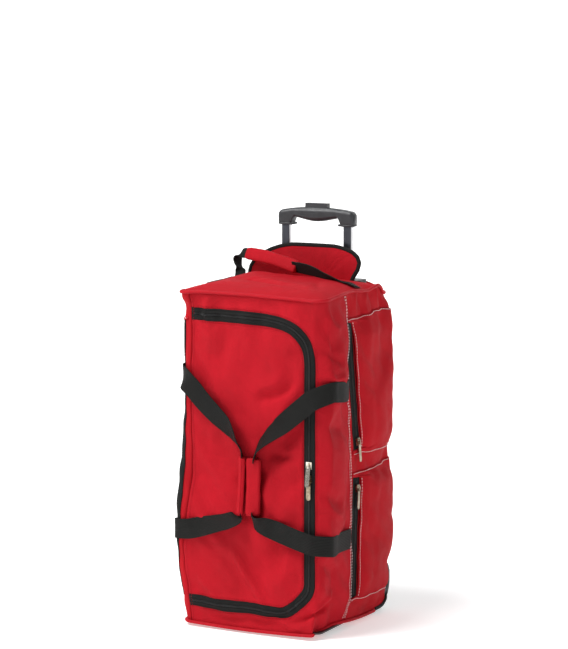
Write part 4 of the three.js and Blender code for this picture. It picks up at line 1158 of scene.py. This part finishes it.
PLACKET_LAP = 12.0                    # how far it lies ahead of the zips' lines
PLACKET_LOW, PLACKET_HIGH = 60.0, 604.0


def placket():
    """The black facing that runs round the soft left front edge, ahead of the left pockets' zips."""
    zs = np.linspace(PLACKET_LOW, PLACKET_HIGH, 140)
    lead = np.interp(zs, [PLACKET_LOW, 130, 200, 330, 430, 500, PLACKET_HIGH],
                     [-151, -148, -141, -138, -142, -148, -157])
    stops = [("lower", PLACKET_LOW), ("lower", 299.0), ("upper", 354.0), ("upper", PLACKET_HIGH)]
    rear = np.interp(zs, [z for _, z in stops],
                     [-side_s(zip_y(level, -1, z) - PLACKET_LAP) for level, z in stops])
    t = np.linspace(0, 1, 12)[:, None]
    s = rear[None] + (lead - rear)[None] * t
    z = np.broadcast_to(zs, s.shape)
    off = 0.9 + 0.6 * bell(s - lead, 3)
    obj = thicken(grid("left_placket", on_wall(s, z, off), tape, np.stack([s, z], axis=-1) * MM), 0.9)
    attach(obj, "root")


placket()

# binding round the cut edge at each wheel housing
for side_name, side in SIDES:
    y = np.concatenate([
        np.full(12, BACK - 1),
        GUARD_Y + (GUARD_R - GUARD_BACK) * np.cos(np.linspace(0.12, math.pi / 2, 26)),
        np.linspace(GUARD_Y, HOUSING_LO[1] + 2, 8)[1:]])
    z = np.concatenate([
        np.linspace(HOUSING_HI[2] + 2, GUARD_Z + 12, 12),
        GUARD_Z - (GUARD_R - GUARD_BACK) * np.sin(np.linspace(0.12, math.pi / 2, 26)),
        np.full(7, LOW + 1)])
    z = np.maximum(z, LOW + 1)
    path = resample(np.stack([side * side_s(np.minimum(y, BACK - 4)), z], axis=1), 3.0, dims=2)
    p = on_wall(path[:, 0], path[:, 1], np.full(len(path), 0.6))
    rim = sweep("guard_binding_" + side_name, p, wall_out(path[:, 0], path[:, 1]),
                oval(2.6, 3.6, 12), binding)
    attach(rim, "root")


# ---------------------------------------------------------------- webbing

def strap(name, keys, material=web, thick=2.0, half=WEBBING / 2, step=3.0):
    """A flat band through keys of (x, y, z, width direction x, y, z, width share)."""
    keys = np.array(keys, float)
    keys[:, 3:6] = unit(keys[:, 3:6])
    for k in range(1, len(keys)):
        if keys[k, 3:6] @ keys[k - 1, 3:6] < 0:
            keys[k, 3:6] *= -1
    line = curve_through(keys, step)
    centre, wide, share = line[:, :3], unit(line[:, 3:6]), np.clip(line[:, 6], 0.1, 1.2)
    base = oval(half, thick / 2, 28, 7.0)
    bow = 0.5 * np.cos(np.linspace(0, 2 * math.pi, 28, endpoint=False) * 2)
    section = np.stack([np.stack([base[:, 0] * k, base[:, 1] + (1 - k) * bow], axis=1) for k in share])
    return sweep(name, centre, wide, section, material)


STRAP_CLEAR = 3.5                        # a strap's middle over the cloth
STRAP_LEAN = 14.0                        # what a strap turned on edge needs behind its middle
STRAP_FRONT = cad_box[0][1] / MM - 17    # how far forward such a strap may stand


def front_key(x, z, roll=0.0, way=(1, 0), y=None, share=1.0):
    """A key of a strap lying over the front: way is its direction in (x, z), roll turns it edge-on."""
    t = np.array([way[0], 0, way[1]], float) / math.hypot(*way)
    flat = np.array([-t[2], 0, t[0]])
    rests = wall(np.array([float(x)]), np.array([float(z)]))[0, 1] - STRAP_CLEAR
    a = math.radians(roll)
    if y is None:
        room = (rests - STRAP_FRONT) / (STRAP_LEAN + WEBBING / 2)
        a = min(a, math.asin(min(max(room, 0.0), 1.0)))
        rests -= STRAP_LEAN * math.sin(a)
    w = flat * math.cos(a) + np.array([0, -1, 0]) * math.sin(a)
    return [x, min(STRAP_Y if y is None else y, rests), z, *w, share]


def wall_key(s, z, off, share=1.0):
    p = on_wall(np.array([float(s)]), np.array([float(z)]), np.array([float(off)]))[0]
    return [*p, 0.0, 0.0, 1.0, share]


SLEEVE_LO, SLEEVE_HI = box("front_handle_sleeve_right")
GRIP_TOP, GRIP_LOW = SLEEVE_HI[2], SLEEVE_LO[2]
HANDLE_UP = 482.0
HANDLE_LOW = 184.0
Y_IN = STRAP_Y + 3


def front_straps():
    seam = float(seam_s(np.array([HANDLE_UP]))[0])
    upper_right = [wall_key(seam - 5, HANDLE_UP + 1, 2.6), wall_key(side_s(-85), HANDLE_UP + 3, 3.0),
                   wall_key(side_s(-120), HANDLE_UP + 5, 3.2), wall_key(158, HANDLE_UP + 6, 5.0),
                   front_key(143, HANDLE_UP - 6, 0, (-1, -0.55), STRAP_Y + 2),
                   front_key(122, HANDLE_UP - 22, 0, (-1, -0.75)), front_key(83, 428, 12, (-1, -0.72)),
                   front_key(60, 410, 30, (-1, -0.75)), front_key(42, 393, 48, (-1, -0.9)),
                   front_key(26, 375, 62, (-1, -1.2)), front_key(16, 358, 70, (-0.6, -1), Y_IN, 0.8),
                   front_key(14, GRIP_TOP - 8, 72, (-0.1, -1), Y_IN, 0.7)]
    seam = float(seam_s(np.array([HANDLE_LOW]))[0])
    lower_right = [front_key(12, GRIP_LOW + 8, 76, (0, -1), Y_IN, 0.7),
                   front_key(12, 233, 68, (0.35, -1), Y_IN, 0.85), front_key(22, 226, 42, (1, -0.7)),
                   front_key(40, 221, 12, (1, -0.45)), front_key(62, 214, 0, (1, -0.36)),
                   front_key(92, 205, 0, (1, -0.32)), front_key(122, 197, 0, (1, -0.18)),
                   front_key(144, 192, 0, (1, 0), STRAP_Y + 3), wall_key(160, 189, 5.0),
                   wall_key(side_s(-120), 187, 3.2), wall_key(side_s(-85), 185, 3.0),
                   wall_key(seam - 5, HANDLE_LOW - 4, 2.6)]
    upper_left = [wall_key(-side_s(-70), 512, 3), wall_key(-side_s(-100), 510, 3.5), wall_key(-166, 506, 2.5),
                  wall_key(-152, 503, 4), front_key(-137, 494, 0, (1, -0.7), STRAP_Y + 2),
                  front_key(-120, 480, 0, (1, -1)), front_key(-97, 456, 4, (1, -0.95)),
                  front_key(-70, 432, 10, (1, -0.85)), front_key(-48, 414, 22, (1, -0.8)),
                  front_key(-32, 399, 42, (1, -1.1)), front_key(-21, 382, 60, (0.6, -1)),
                  front_key(-14, 364, 66, (0.25, -1), Y_IN, 0.75),
                  front_key(-12, GRIP_TOP - 8, 68, (0, -1), Y_IN, 0.65)]
    lower_left = [front_key(-14, GRIP_LOW + 8, 72, (0, -1), Y_IN, 0.65),
                  front_key(-15, 235, 70, (-0.5, -1), Y_IN, 0.8), front_key(-28, 229, 58, (-1, -0.5)),
                  front_key(-52, 221, 44, (-1, -0.35)), front_key(-80, 213, 30, (-1, -0.3)),
                  front_key(-108, 205, 12, (-1, -0.25)), front_key(-134, 199, 0, (-1, -0.12), STRAP_Y + 2),
                  wall_key(-150, 197, 4), wall_key(-168, 195, 2.5), wall_key(-side_s(-100), 194, 3.2),
                  wall_key(-side_s(-70), 193, 3)]
    for side_name, side, upper, lower in (("right", 1, upper_right, lower_right),
                                          ("left", -1, upper_left, lower_left)):
        pieces = []
        for level, keys in (("upper", upper), ("lower", lower)):
            obj = strap("front_strap_" + level + "_" + side_name, keys)
            pieces.append(obj)
        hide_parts("front_handle_strap_" + side_name)
        for obj in pieces:
            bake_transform(obj)


front_straps()


def sleeve(name, side, turn, half_w, half_t, x_mid, lean, node):
    """The padded wrap round both straps of one front handle, its edge lapped over."""
    zs = np.linspace(GRIP_LOW, GRIP_TOP, 46)
    t = (zs - GRIP_LOW) / (GRIP_TOP - GRIP_LOW)
    x = x_mid + lean * (0.5 - t)
    y = np.full_like(zs, (SLEEVE_LO[1] + SLEEVE_HI[1]) / 2) + 1.2 * np.sin(t * 3.0)
    centre = np.stack([x, y, zs], axis=1)
    a = math.radians(turn)
    across = np.tile(np.array([math.cos(a), math.sin(a), 0]), (len(zs), 1))
    n = 44
    base = oval(half_w, half_t, n, 3.2)
    angle = 2 * math.pi * np.arange(n) / n
    lap = 1 + 0.13 * ((angle > 0.55) & (angle < math.pi * 0.98)) - 0.05 * bell(angle - 0.5, 0.18)
    section = np.stack([base * lap[:, None] * (1 + 0.035 * math.sin(9 * k) + 0.02 * math.sin(23 * k)
                                                - 0.10 * (max(0, abs(2 * k - 1) - 0.93) / 0.07)) for k in t])
    obj = sweep(name, centre, across, section, red)
    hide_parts(node)
    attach(obj, "front_handle_" + ("right" if side > 0 else "left"))


SLEEVE_X = (SLEEVE_LO[0] + SLEEVE_HI[0]) / 2
SLEEVE_HALF = (SLEEVE_HI[0] - SLEEVE_LO[0]) / 2
SLEEVE_DEEP = (SLEEVE_HI[1] - SLEEVE_LO[1]) / 2
sleeve("front_grip_wrap_right", 1, 4, SLEEVE_HALF, SLEEVE_DEEP,
       SLEEVE_X - 0.5, -2, "front_handle_sleeve_right")
sleeve("front_grip_wrap_left", -1, -52, SLEEVE_HALF - 1.5, SLEEVE_DEEP - 1,
       -SLEEVE_X + 2, -6, "front_handle_sleeve_left")


# ---------------------------------------------------------------- top handle

TOP_SLEEVE_LO, TOP_SLEEVE_HI = box("top_handle_sleeve")


def top_handle():
    right, left = TOP_SLEEVE_HI[0], TOP_SLEEVE_LO[0]
    grip_right = (right + 3, 50, 704)
    grip_left = (left + 2, 83, 724)
    keys = [(150, 10, over_top(150, 10, 1.5), 0.3, -1, 0.1, 1.0),
            (132, 15, over_top(132, 15, 1.5), 0.3, -1, 0, 1.0),
            (114, 20, over_top(114, 20, 2), 0.3, -1, 0.1, 0.95),
            (92, 26, over_top(92, 26, 4), 0.2, -0.85, 0.5, 0.75),
            (71, 31, over_top(71, 31, 7), 0.1, -0.5, 0.85, 0.6), (46, 37, 698, 0.1, -0.42, 0.9, 0.85),
            (22, 43, 702, 0.12, -0.42, 0.9, 1.0), (right - 6, 51, 705, 0.12, -0.42, 0.9, 0.95)]
    strap_right = strap("top_strap_right", keys, thick=2.2, half=12.5, step=2.5)
    keys = [(left + 12, 81, 722, 0.3, 0.45, 0.85, 0.85), (left - 6, 86, 724, 0.2, 0.5, 0.85, 0.95),
            (left - 16, 88, 721, 0.35, 0.6, 0.6, 1.0), (left - 22, 87, 713, 0.35, 0.9, 0.1, 1.0),
            (left - 21, 86, 703, 0.2, 1, -0.1, 1.0), (left - 17, 85, 694, 0.1, 1, -0.1, 0.95),
            (left - 13, 82, 687, 0.8, 0.5, 0.05, 0.9),
            (left - 9, 70, over_top(left - 9, 70, -1), 1, 0.1, 0.1, 0.9)]
    keys += [(left + a, y, over_top(left + a, y, -2.5), 1, 0, 0.1, 0.9)
             for a, y in ((-7, 50), (-5, 20), (-3, -20), (-2, -60))]
    strap_left = strap("top_strap_left", keys, thick=2.2, half=12.0, step=2.5)
    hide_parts("top_handle_strap")
    for obj in (strap_right, strap_left):
        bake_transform(obj)
    a, b = np.array(grip_right, float), np.array(grip_left, float)
    t = np.linspace(0, 1, 60)
    centre = a + (b - a) * t[:, None]
    centre[:, 2] += 3.0 * np.sin(t * math.pi)
    centre[:, 1] += 2.0 * np.sin(t * math.pi)
    across = np.tile(np.array([0.12, -0.42, -0.9]), (60, 1))
    n = 40
    base = oval(12.6, 5.6, n, 3.0)
    angle = 2 * math.pi * np.arange(n) / n
    lap = 1 + 0.12 * ((angle > 0.5) & (angle < math.pi * 0.97))
    section = np.stack([base * lap[:, None] * (1 + 0.03 * math.sin(11 * k)
                                                - 0.08 * (max(0, abs(2 * k - 1) - 0.94) / 0.06)) for k in t])
    wrap_piece = sweep("top_grip_wrap", centre, across, section, red)
    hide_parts("top_handle_sleeve")
    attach(wrap_piece, "top_handle")


top_handle()


# ---------------------------------------------------------------- trolley flap

FLAP_LO, FLAP_HI = box("trolley_flap")


def flap():
    bottom, tall = FLAP_LO[2], FLAP_HI[2] - FLAP_LO[2]
    half = FLAP_HI[0]
    y_mid = (FLAP_LO[1] + FLAP_HI[1]) / 2
    rows = tall * np.array([0, 0.2, 0.4, 0.6, 0.76, 0.87, 0.94, 0.98, 1.0])

    def edges(h):
        left = np.interp(h, rows, [-137, -142, -138, -127, -110, -92, -74, -58, -46])
        right = np.interp(h, rows, [88, 95, 104, 107, 102, 92, 77, 62, 50])
        return left, right

    def point(x, h):
        sink = 5.0 * np.abs(x / half) ** 2.4 * (h / tall)
        y = y_mid - 2.5 * np.sin(h / tall * math.pi) * (1 - (x / half) ** 2) + 1.2 * np.sin(x / 27 + h / 19)
        y = y + 3.0 * (h / tall) ** 2 - 2.0 * ease(-70, -142, x)
        return np.stack([x, y, bottom + h - sink], axis=-1)

    h = tall * np.linspace(0, 1, 40) ** 0.8
    left, right = edges(h)
    a = np.linspace(0, 1, 90)[:, None]
    x = left[None] + (right - left)[None] * a
    points = point(x, np.broadcast_to(h, x.shape))
    panel_piece = grid("flap_fabric", points, red, points[..., [0, 2]] * MM)
    thicken(panel_piece, 3.2, 0.0)
    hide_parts("trolley_flap")
    top_row = np.linspace(left[-1], right[-1], 30)[1:-1]
    edge = list(zip(left, h)) + [(v, tall) for v in top_row] + list(zip(right[::-1], h[::-1]))
    edge = np.array([(float(v), float(w)) for v, w in edge])
    line = resample(edge, 2.5, dims=2)
    p = point(line[:, 0], line[:, 1])
    rim = sweep("flap_binding", p, np.tile([0.0, 1.0, 0.0], (len(p), 1)), oval(2.9, 4.4, 16, 2.6), binding)
    for piece, slot_name in ((panel_piece, "red_fabric"), (rim, "webbing")):
        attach(piece, "flap")


flap()


# ---------------------------------------------------------------- trolley grip

GRIP_BOX_LO, GRIP_BOX_HI = box("grip")


def grip():
    half = GRIP_BOX_HI[0] - 4
    y_mid = (GRIP_BOX_LO[1] + GRIP_BOX_HI[1]) / 2
    deep = (GRIP_BOX_HI[1] - GRIP_BOX_LO[1]) / 2
    low, high = GRIP_BOX_LO[2], GRIP_BOX_HI[2] - 2.0
    edge = half - 30.0
    x = np.concatenate([-half + np.array([0.0, 0.5, 1.6, 3.4]), np.linspace(-half + 6, half - 6, 96),
                        half - np.array([3.4, 1.6, 0.5, 0.0])])
    a = np.abs(x)
    top = high - 2.5 - 8.0 * (a / half) ** 2.2 - 3.5 * ease(half - 7, half, a) ** 2
    under = low + 12.0 + 6.5 * (a / edge) ** 2 - 3.0 * bell(a, 30)
    socket = ease(edge - 7, edge + 5, a)
    bottom = under * (1 - socket) + (low + 0.3) * socket + 2.2 * ease(half - 4, half, a) ** 2
    thick = deep * (0.80 + 0.14 * ease(edge - 10, edge + 8, a)) * (1 - 0.16 * ease(half - 4.5, half, a) ** 2)
    thick = thick * (1 + 0.05 * bell(a, 38))
    power = 2.7 + 1.6 * socket
    n = 44
    angle = 2 * math.pi * (np.arange(n) + 0.5) / n
    c, s = np.cos(angle), np.sin(angle)
    rings = []
    for k in range(len(x)):
        e = 2 / power[k]
        y = thick[k] * np.sign(c) * np.abs(c) ** e
        z = (top[k] - bottom[k]) / 2 * np.sign(s) * np.abs(s) ** e
        groove = 0.9 * bell(z + 1.5, 1.1) * (1 - socket[k]) * (a[k] < edge)
        y = y - np.sign(y) * groove * (np.abs(c) > 0.5)
        rings.append(np.stack([np.full(n, x[k]), y_mid + y, (top[k] + bottom[k]) / 2 + z], axis=1))
    points = np.array(rings)
    faces = []
    for i in range(len(x) - 1):
        for j in range(n):
            k = (j + 1) % n
            faces.append((i * n + j, i * n + k, (i + 1) * n + k, (i + 1) * n + j))
    faces.append(tuple(range(n - 1, -1, -1)))
    faces.append(tuple(range((len(x) - 1) * n, len(x) * n)))
    obj = make("trolley_grip", points.reshape(-1, 3), faces, grip_plastic)
    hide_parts("grip")
    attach(obj, "trolley_top")
    for side_name, side in SIDES:
        x0 = side * (half - 16.5)
        t = 2 * math.pi * np.arange(48) / 48
        loop = np.stack([x0 + 17.2 * np.sign(np.cos(t)) * np.abs(np.cos(t)) ** 0.5,
                         y_mid + (deep * 0.94 + 0.7) * np.sign(np.sin(t)) * np.abs(np.sin(t)) ** 0.5,
                         np.full(48, low + 3.6)], axis=1)
        collar = sweep("grip_collar_" + side_name, loop, np.tile([0.0, 0.0, 1.0], (48, 1)),
                       oval(1.9, 0.9, 10, 3), grip_plastic, closed=True)
        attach(collar, "trolley_top")


grip()


# ---------------------------------------------------------------- wheels

def lathe(name, profile, centre, material, segments=72):
    """A turned solid about an x axis, from (radius, offset) pairs that close on themselves."""
    t = 2 * math.pi * np.arange(segments) / segments
    profile = np.array(profile, float)
    pts = np.stack([np.broadcast_to(profile[None, :, 1], (segments, len(profile))),
                    np.cos(t)[:, None] * profile[None, :, 0],
                    np.sin(t)[:, None] * profile[None, :, 0]], axis=-1)
    pts = pts + np.array(centre)
    m = len(profile)
    faces = [(i * m + j, i * m + (j + 1) % m,
              ((i + 1) % segments) * m + (j + 1) % m, ((i + 1) % segments) * m + j)
             for i in range(segments) for j in range(m)]
    return make(name, pts.reshape(-1, 3), faces, material)


def wheels():
    for side_name, _ in SIDES:
        lo, hi = box("wheel_" + side_name)
        centre = (lo + hi) / 2
        r = (hi[2] - lo[2]) / 2
        h = (hi[0] - lo[0]) / 2
        tyre = [(r - 9, -h + 2.2), (r - 6, -h + 0.6), (r - 3.4, -h + 0.9),
                (r - 1.3, -h + 3), (r - 0.3, -h + 6)]
        for g in (-4.5, 0, 4.5):
            tyre += [(r, g - 1.6), (r - 0.9, g - 0.7), (r - 0.9, g + 0.7), (r, g + 1.6)]
        tyre += [(r - 0.3, h - 6), (r - 1.3, h - 3), (r - 3.4, h - 0.9), (r - 6, h - 0.6), (r - 9, h - 2.2)]
        tread = lathe("tyre_" + side_name, tyre, centre, rubber)
        hub = [(4.4, -h + 3), (8, -h + 2.4), (10, -h + 3.6), (11, -h + 6.5), (18, -h + 6.5),
               (20, -h + 3), (r - 8.6, -h + 2.4), (r - 8.6, h - 2.4), (20, h - 3), (18, h - 6.5),
               (11, h - 6.5), (10, h - 3.6), (8, h - 2.4), (4.4, h - 3)]
        core = lathe("hub_" + side_name, hub, centre, hub_plastic)
        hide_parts("wheel_" + side_name)
        for piece in (tread, core):
            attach(piece, "wheel_" + side_name)
        spokes = []
        for k in range(6):
            for face in (-1, 1):
                a = k * math.pi / 3
                radial = np.array([0, math.cos(a), math.sin(a)])
                line = np.stack([centre + radial * q + np.array([face * (h - 5.2), 0, 0])
                                 for q in np.linspace(9.5, r - 11, 6)])
                flat = np.tile(np.cross(radial, [1, 0, 0]), (6, 1))
                spokes.append(sweep(f"spoke_{side_name}_{k}_{face + 1}", line, flat,
                                    oval(1.8, 1.6, 10, 3), hub_plastic))
        for o in bpy.context.selected_objects:
            o.select_set(False)
        for o in spokes:
            o.select_set(True)
        bpy.context.view_layer.objects.active = spokes[0]
        bpy.ops.object.join()
        spokes[0].name = "spokes_" + side_name
        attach(spokes[0], "wheel_" + side_name)


wheels()


# ---------------------------------------------------------------- CAD nodes that stay

dress(["wheel_housing_left", "wheel_housing_right", "front_foot"], shell_plastic, 1.2)
dress(["top_bezel"], shell_plastic, 0.8)
dress(["lower_tube_bracket", "base_board"], inner_plastic)
dress(["tube_cover_lining"], black_cloth)
dress(["axle_left", "axle_right", "lock_pin_left", "lock_pin_right"], steel, 0.3)
dress([part + "_tube_" + s for part in ("outer", "mid", "inner") for s, _ in SIDES], tube_metal)
dress(["push_button"], grip_plastic, 1.2)
dress(["release_yoke"], inner_plastic)
dress(["slider_main_upper", "puller_main_upper"], nickel, 0.35)
dress(["slider_main_lower", "puller_main_lower"], bronze, 0.35)
dress([f"{part}_{level}_{s}" for part in ("slider", "puller")
       for level in ("upper", "lower") for s, _ in SIDES], bronze, 0.35)


# ---------------------------------------------------------------- floor, light and camera

def studio():
    """A white sweep: a floor that curves up into a wall far behind the bag, seen from the camera."""
    turn = math.radians(CAMERA_TURN)
    ahead = np.array([-math.sin(turn), math.cos(turn), 0])
    across = np.array([math.cos(turn), math.sin(turn), 0])
    profile = [(-9.0, 0.0), (5.0, 0.0)]
    profile += [(5.0 + 3 * math.sin(a), 3 - 3 * math.cos(a)) for a in np.linspace(0.1, math.pi / 2, 12)]
    profile += [(8.0, 7.0)]
    verts = [ahead * run + across * side + np.array([0, 0, up])
             for run, up in profile for side in (-9.0, 9.0)]
    faces = [(2 * k, 2 * k + 1, 2 * k + 3, 2 * k + 2) for k in range(len(profile) - 1)]
    mesh = bpy.data.meshes.new("floor")
    mesh.from_pydata([tuple(v) for v in verts], [], faces)
    floor = bpy.data.objects.new("floor", mesh)
    bpy.context.scene.collection.objects.link(floor)
    look = Look("floor_pale", 0.9)
    look.shader.inputs["Specular IOR Level"].default_value = 0.1
    look.shader.inputs["Emission Color"].default_value = (1, 1, 1, 1)
    look.shader.inputs["Emission Strength"].default_value = 0.42
    look.colour(look.blend(look.noise(2, 2, 0.5), linear(248, 248, 248), linear(252, 252, 252)))
    mesh.materials.append(look.material)
    world = bpy.data.worlds.new("studio")
    world.use_nodes = True
    world.node_tree.nodes["Background"].inputs["Color"].default_value = (1, 1, 1, 1)
    world.node_tree.nodes["Background"].inputs["Strength"].default_value = 0.30
    bpy.context.scene.world = world
    data = bpy.data.lights.new("sun_key", "SUN")
    data.energy = 2.1
    data.angle = math.radians(22)
    place_lamp("sun_key", data, Vector((-1.5, -1.9, 5.4)), Vector((0, 0, 0)))
    data = bpy.data.lights.new("sun_side", "SUN")
    data.energy = 0.42
    data.angle = math.radians(40)
    place_lamp("sun_side", data, Vector((4.0, -1.0, 2.2)), Vector((0, 0, 0)))
    data = bpy.data.lights.new("soft_box", "AREA")
    data.shape = "SQUARE"
    data.size = 0.7
    data.energy = 21
    place_lamp("soft_box", data, Vector((-0.95, -1.2, 1.8)), Vector((0.0, -0.15, 0.62)))


def place_lamp(name, data, at, aim):
    lamp = bpy.data.objects.new(name, data)
    lamp.location = at
    lamp.rotation_mode = "QUATERNION"
    lamp.rotation_quaternion = (aim - at).to_track_quat("-Z", "Y")
    bpy.context.scene.collection.objects.link(lamp)


CAMERA_AT = (2.175, -4.1745, 1.195)
CAMERA_TURN = 27.58
CAMERA_DOWN = 7.27
LENS = 132.25
studio()
camera = bpy.data.objects.new("camera", bpy.data.cameras.new("camera"))
camera.data.lens = LENS
camera.data.sensor_width = 36
camera.location = CAMERA_AT
camera.rotation_euler = (math.radians(90 - CAMERA_DOWN), 0, math.radians(CAMERA_TURN))
camera.data.clip_start, camera.data.clip_end = 0.1, 60
bpy.context.scene.collection.objects.link(camera)
bpy.context.scene.camera = camera
bpy.context.scene.view_settings.view_transform = "Standard"
bpy.context.scene.view_settings.look = "None"
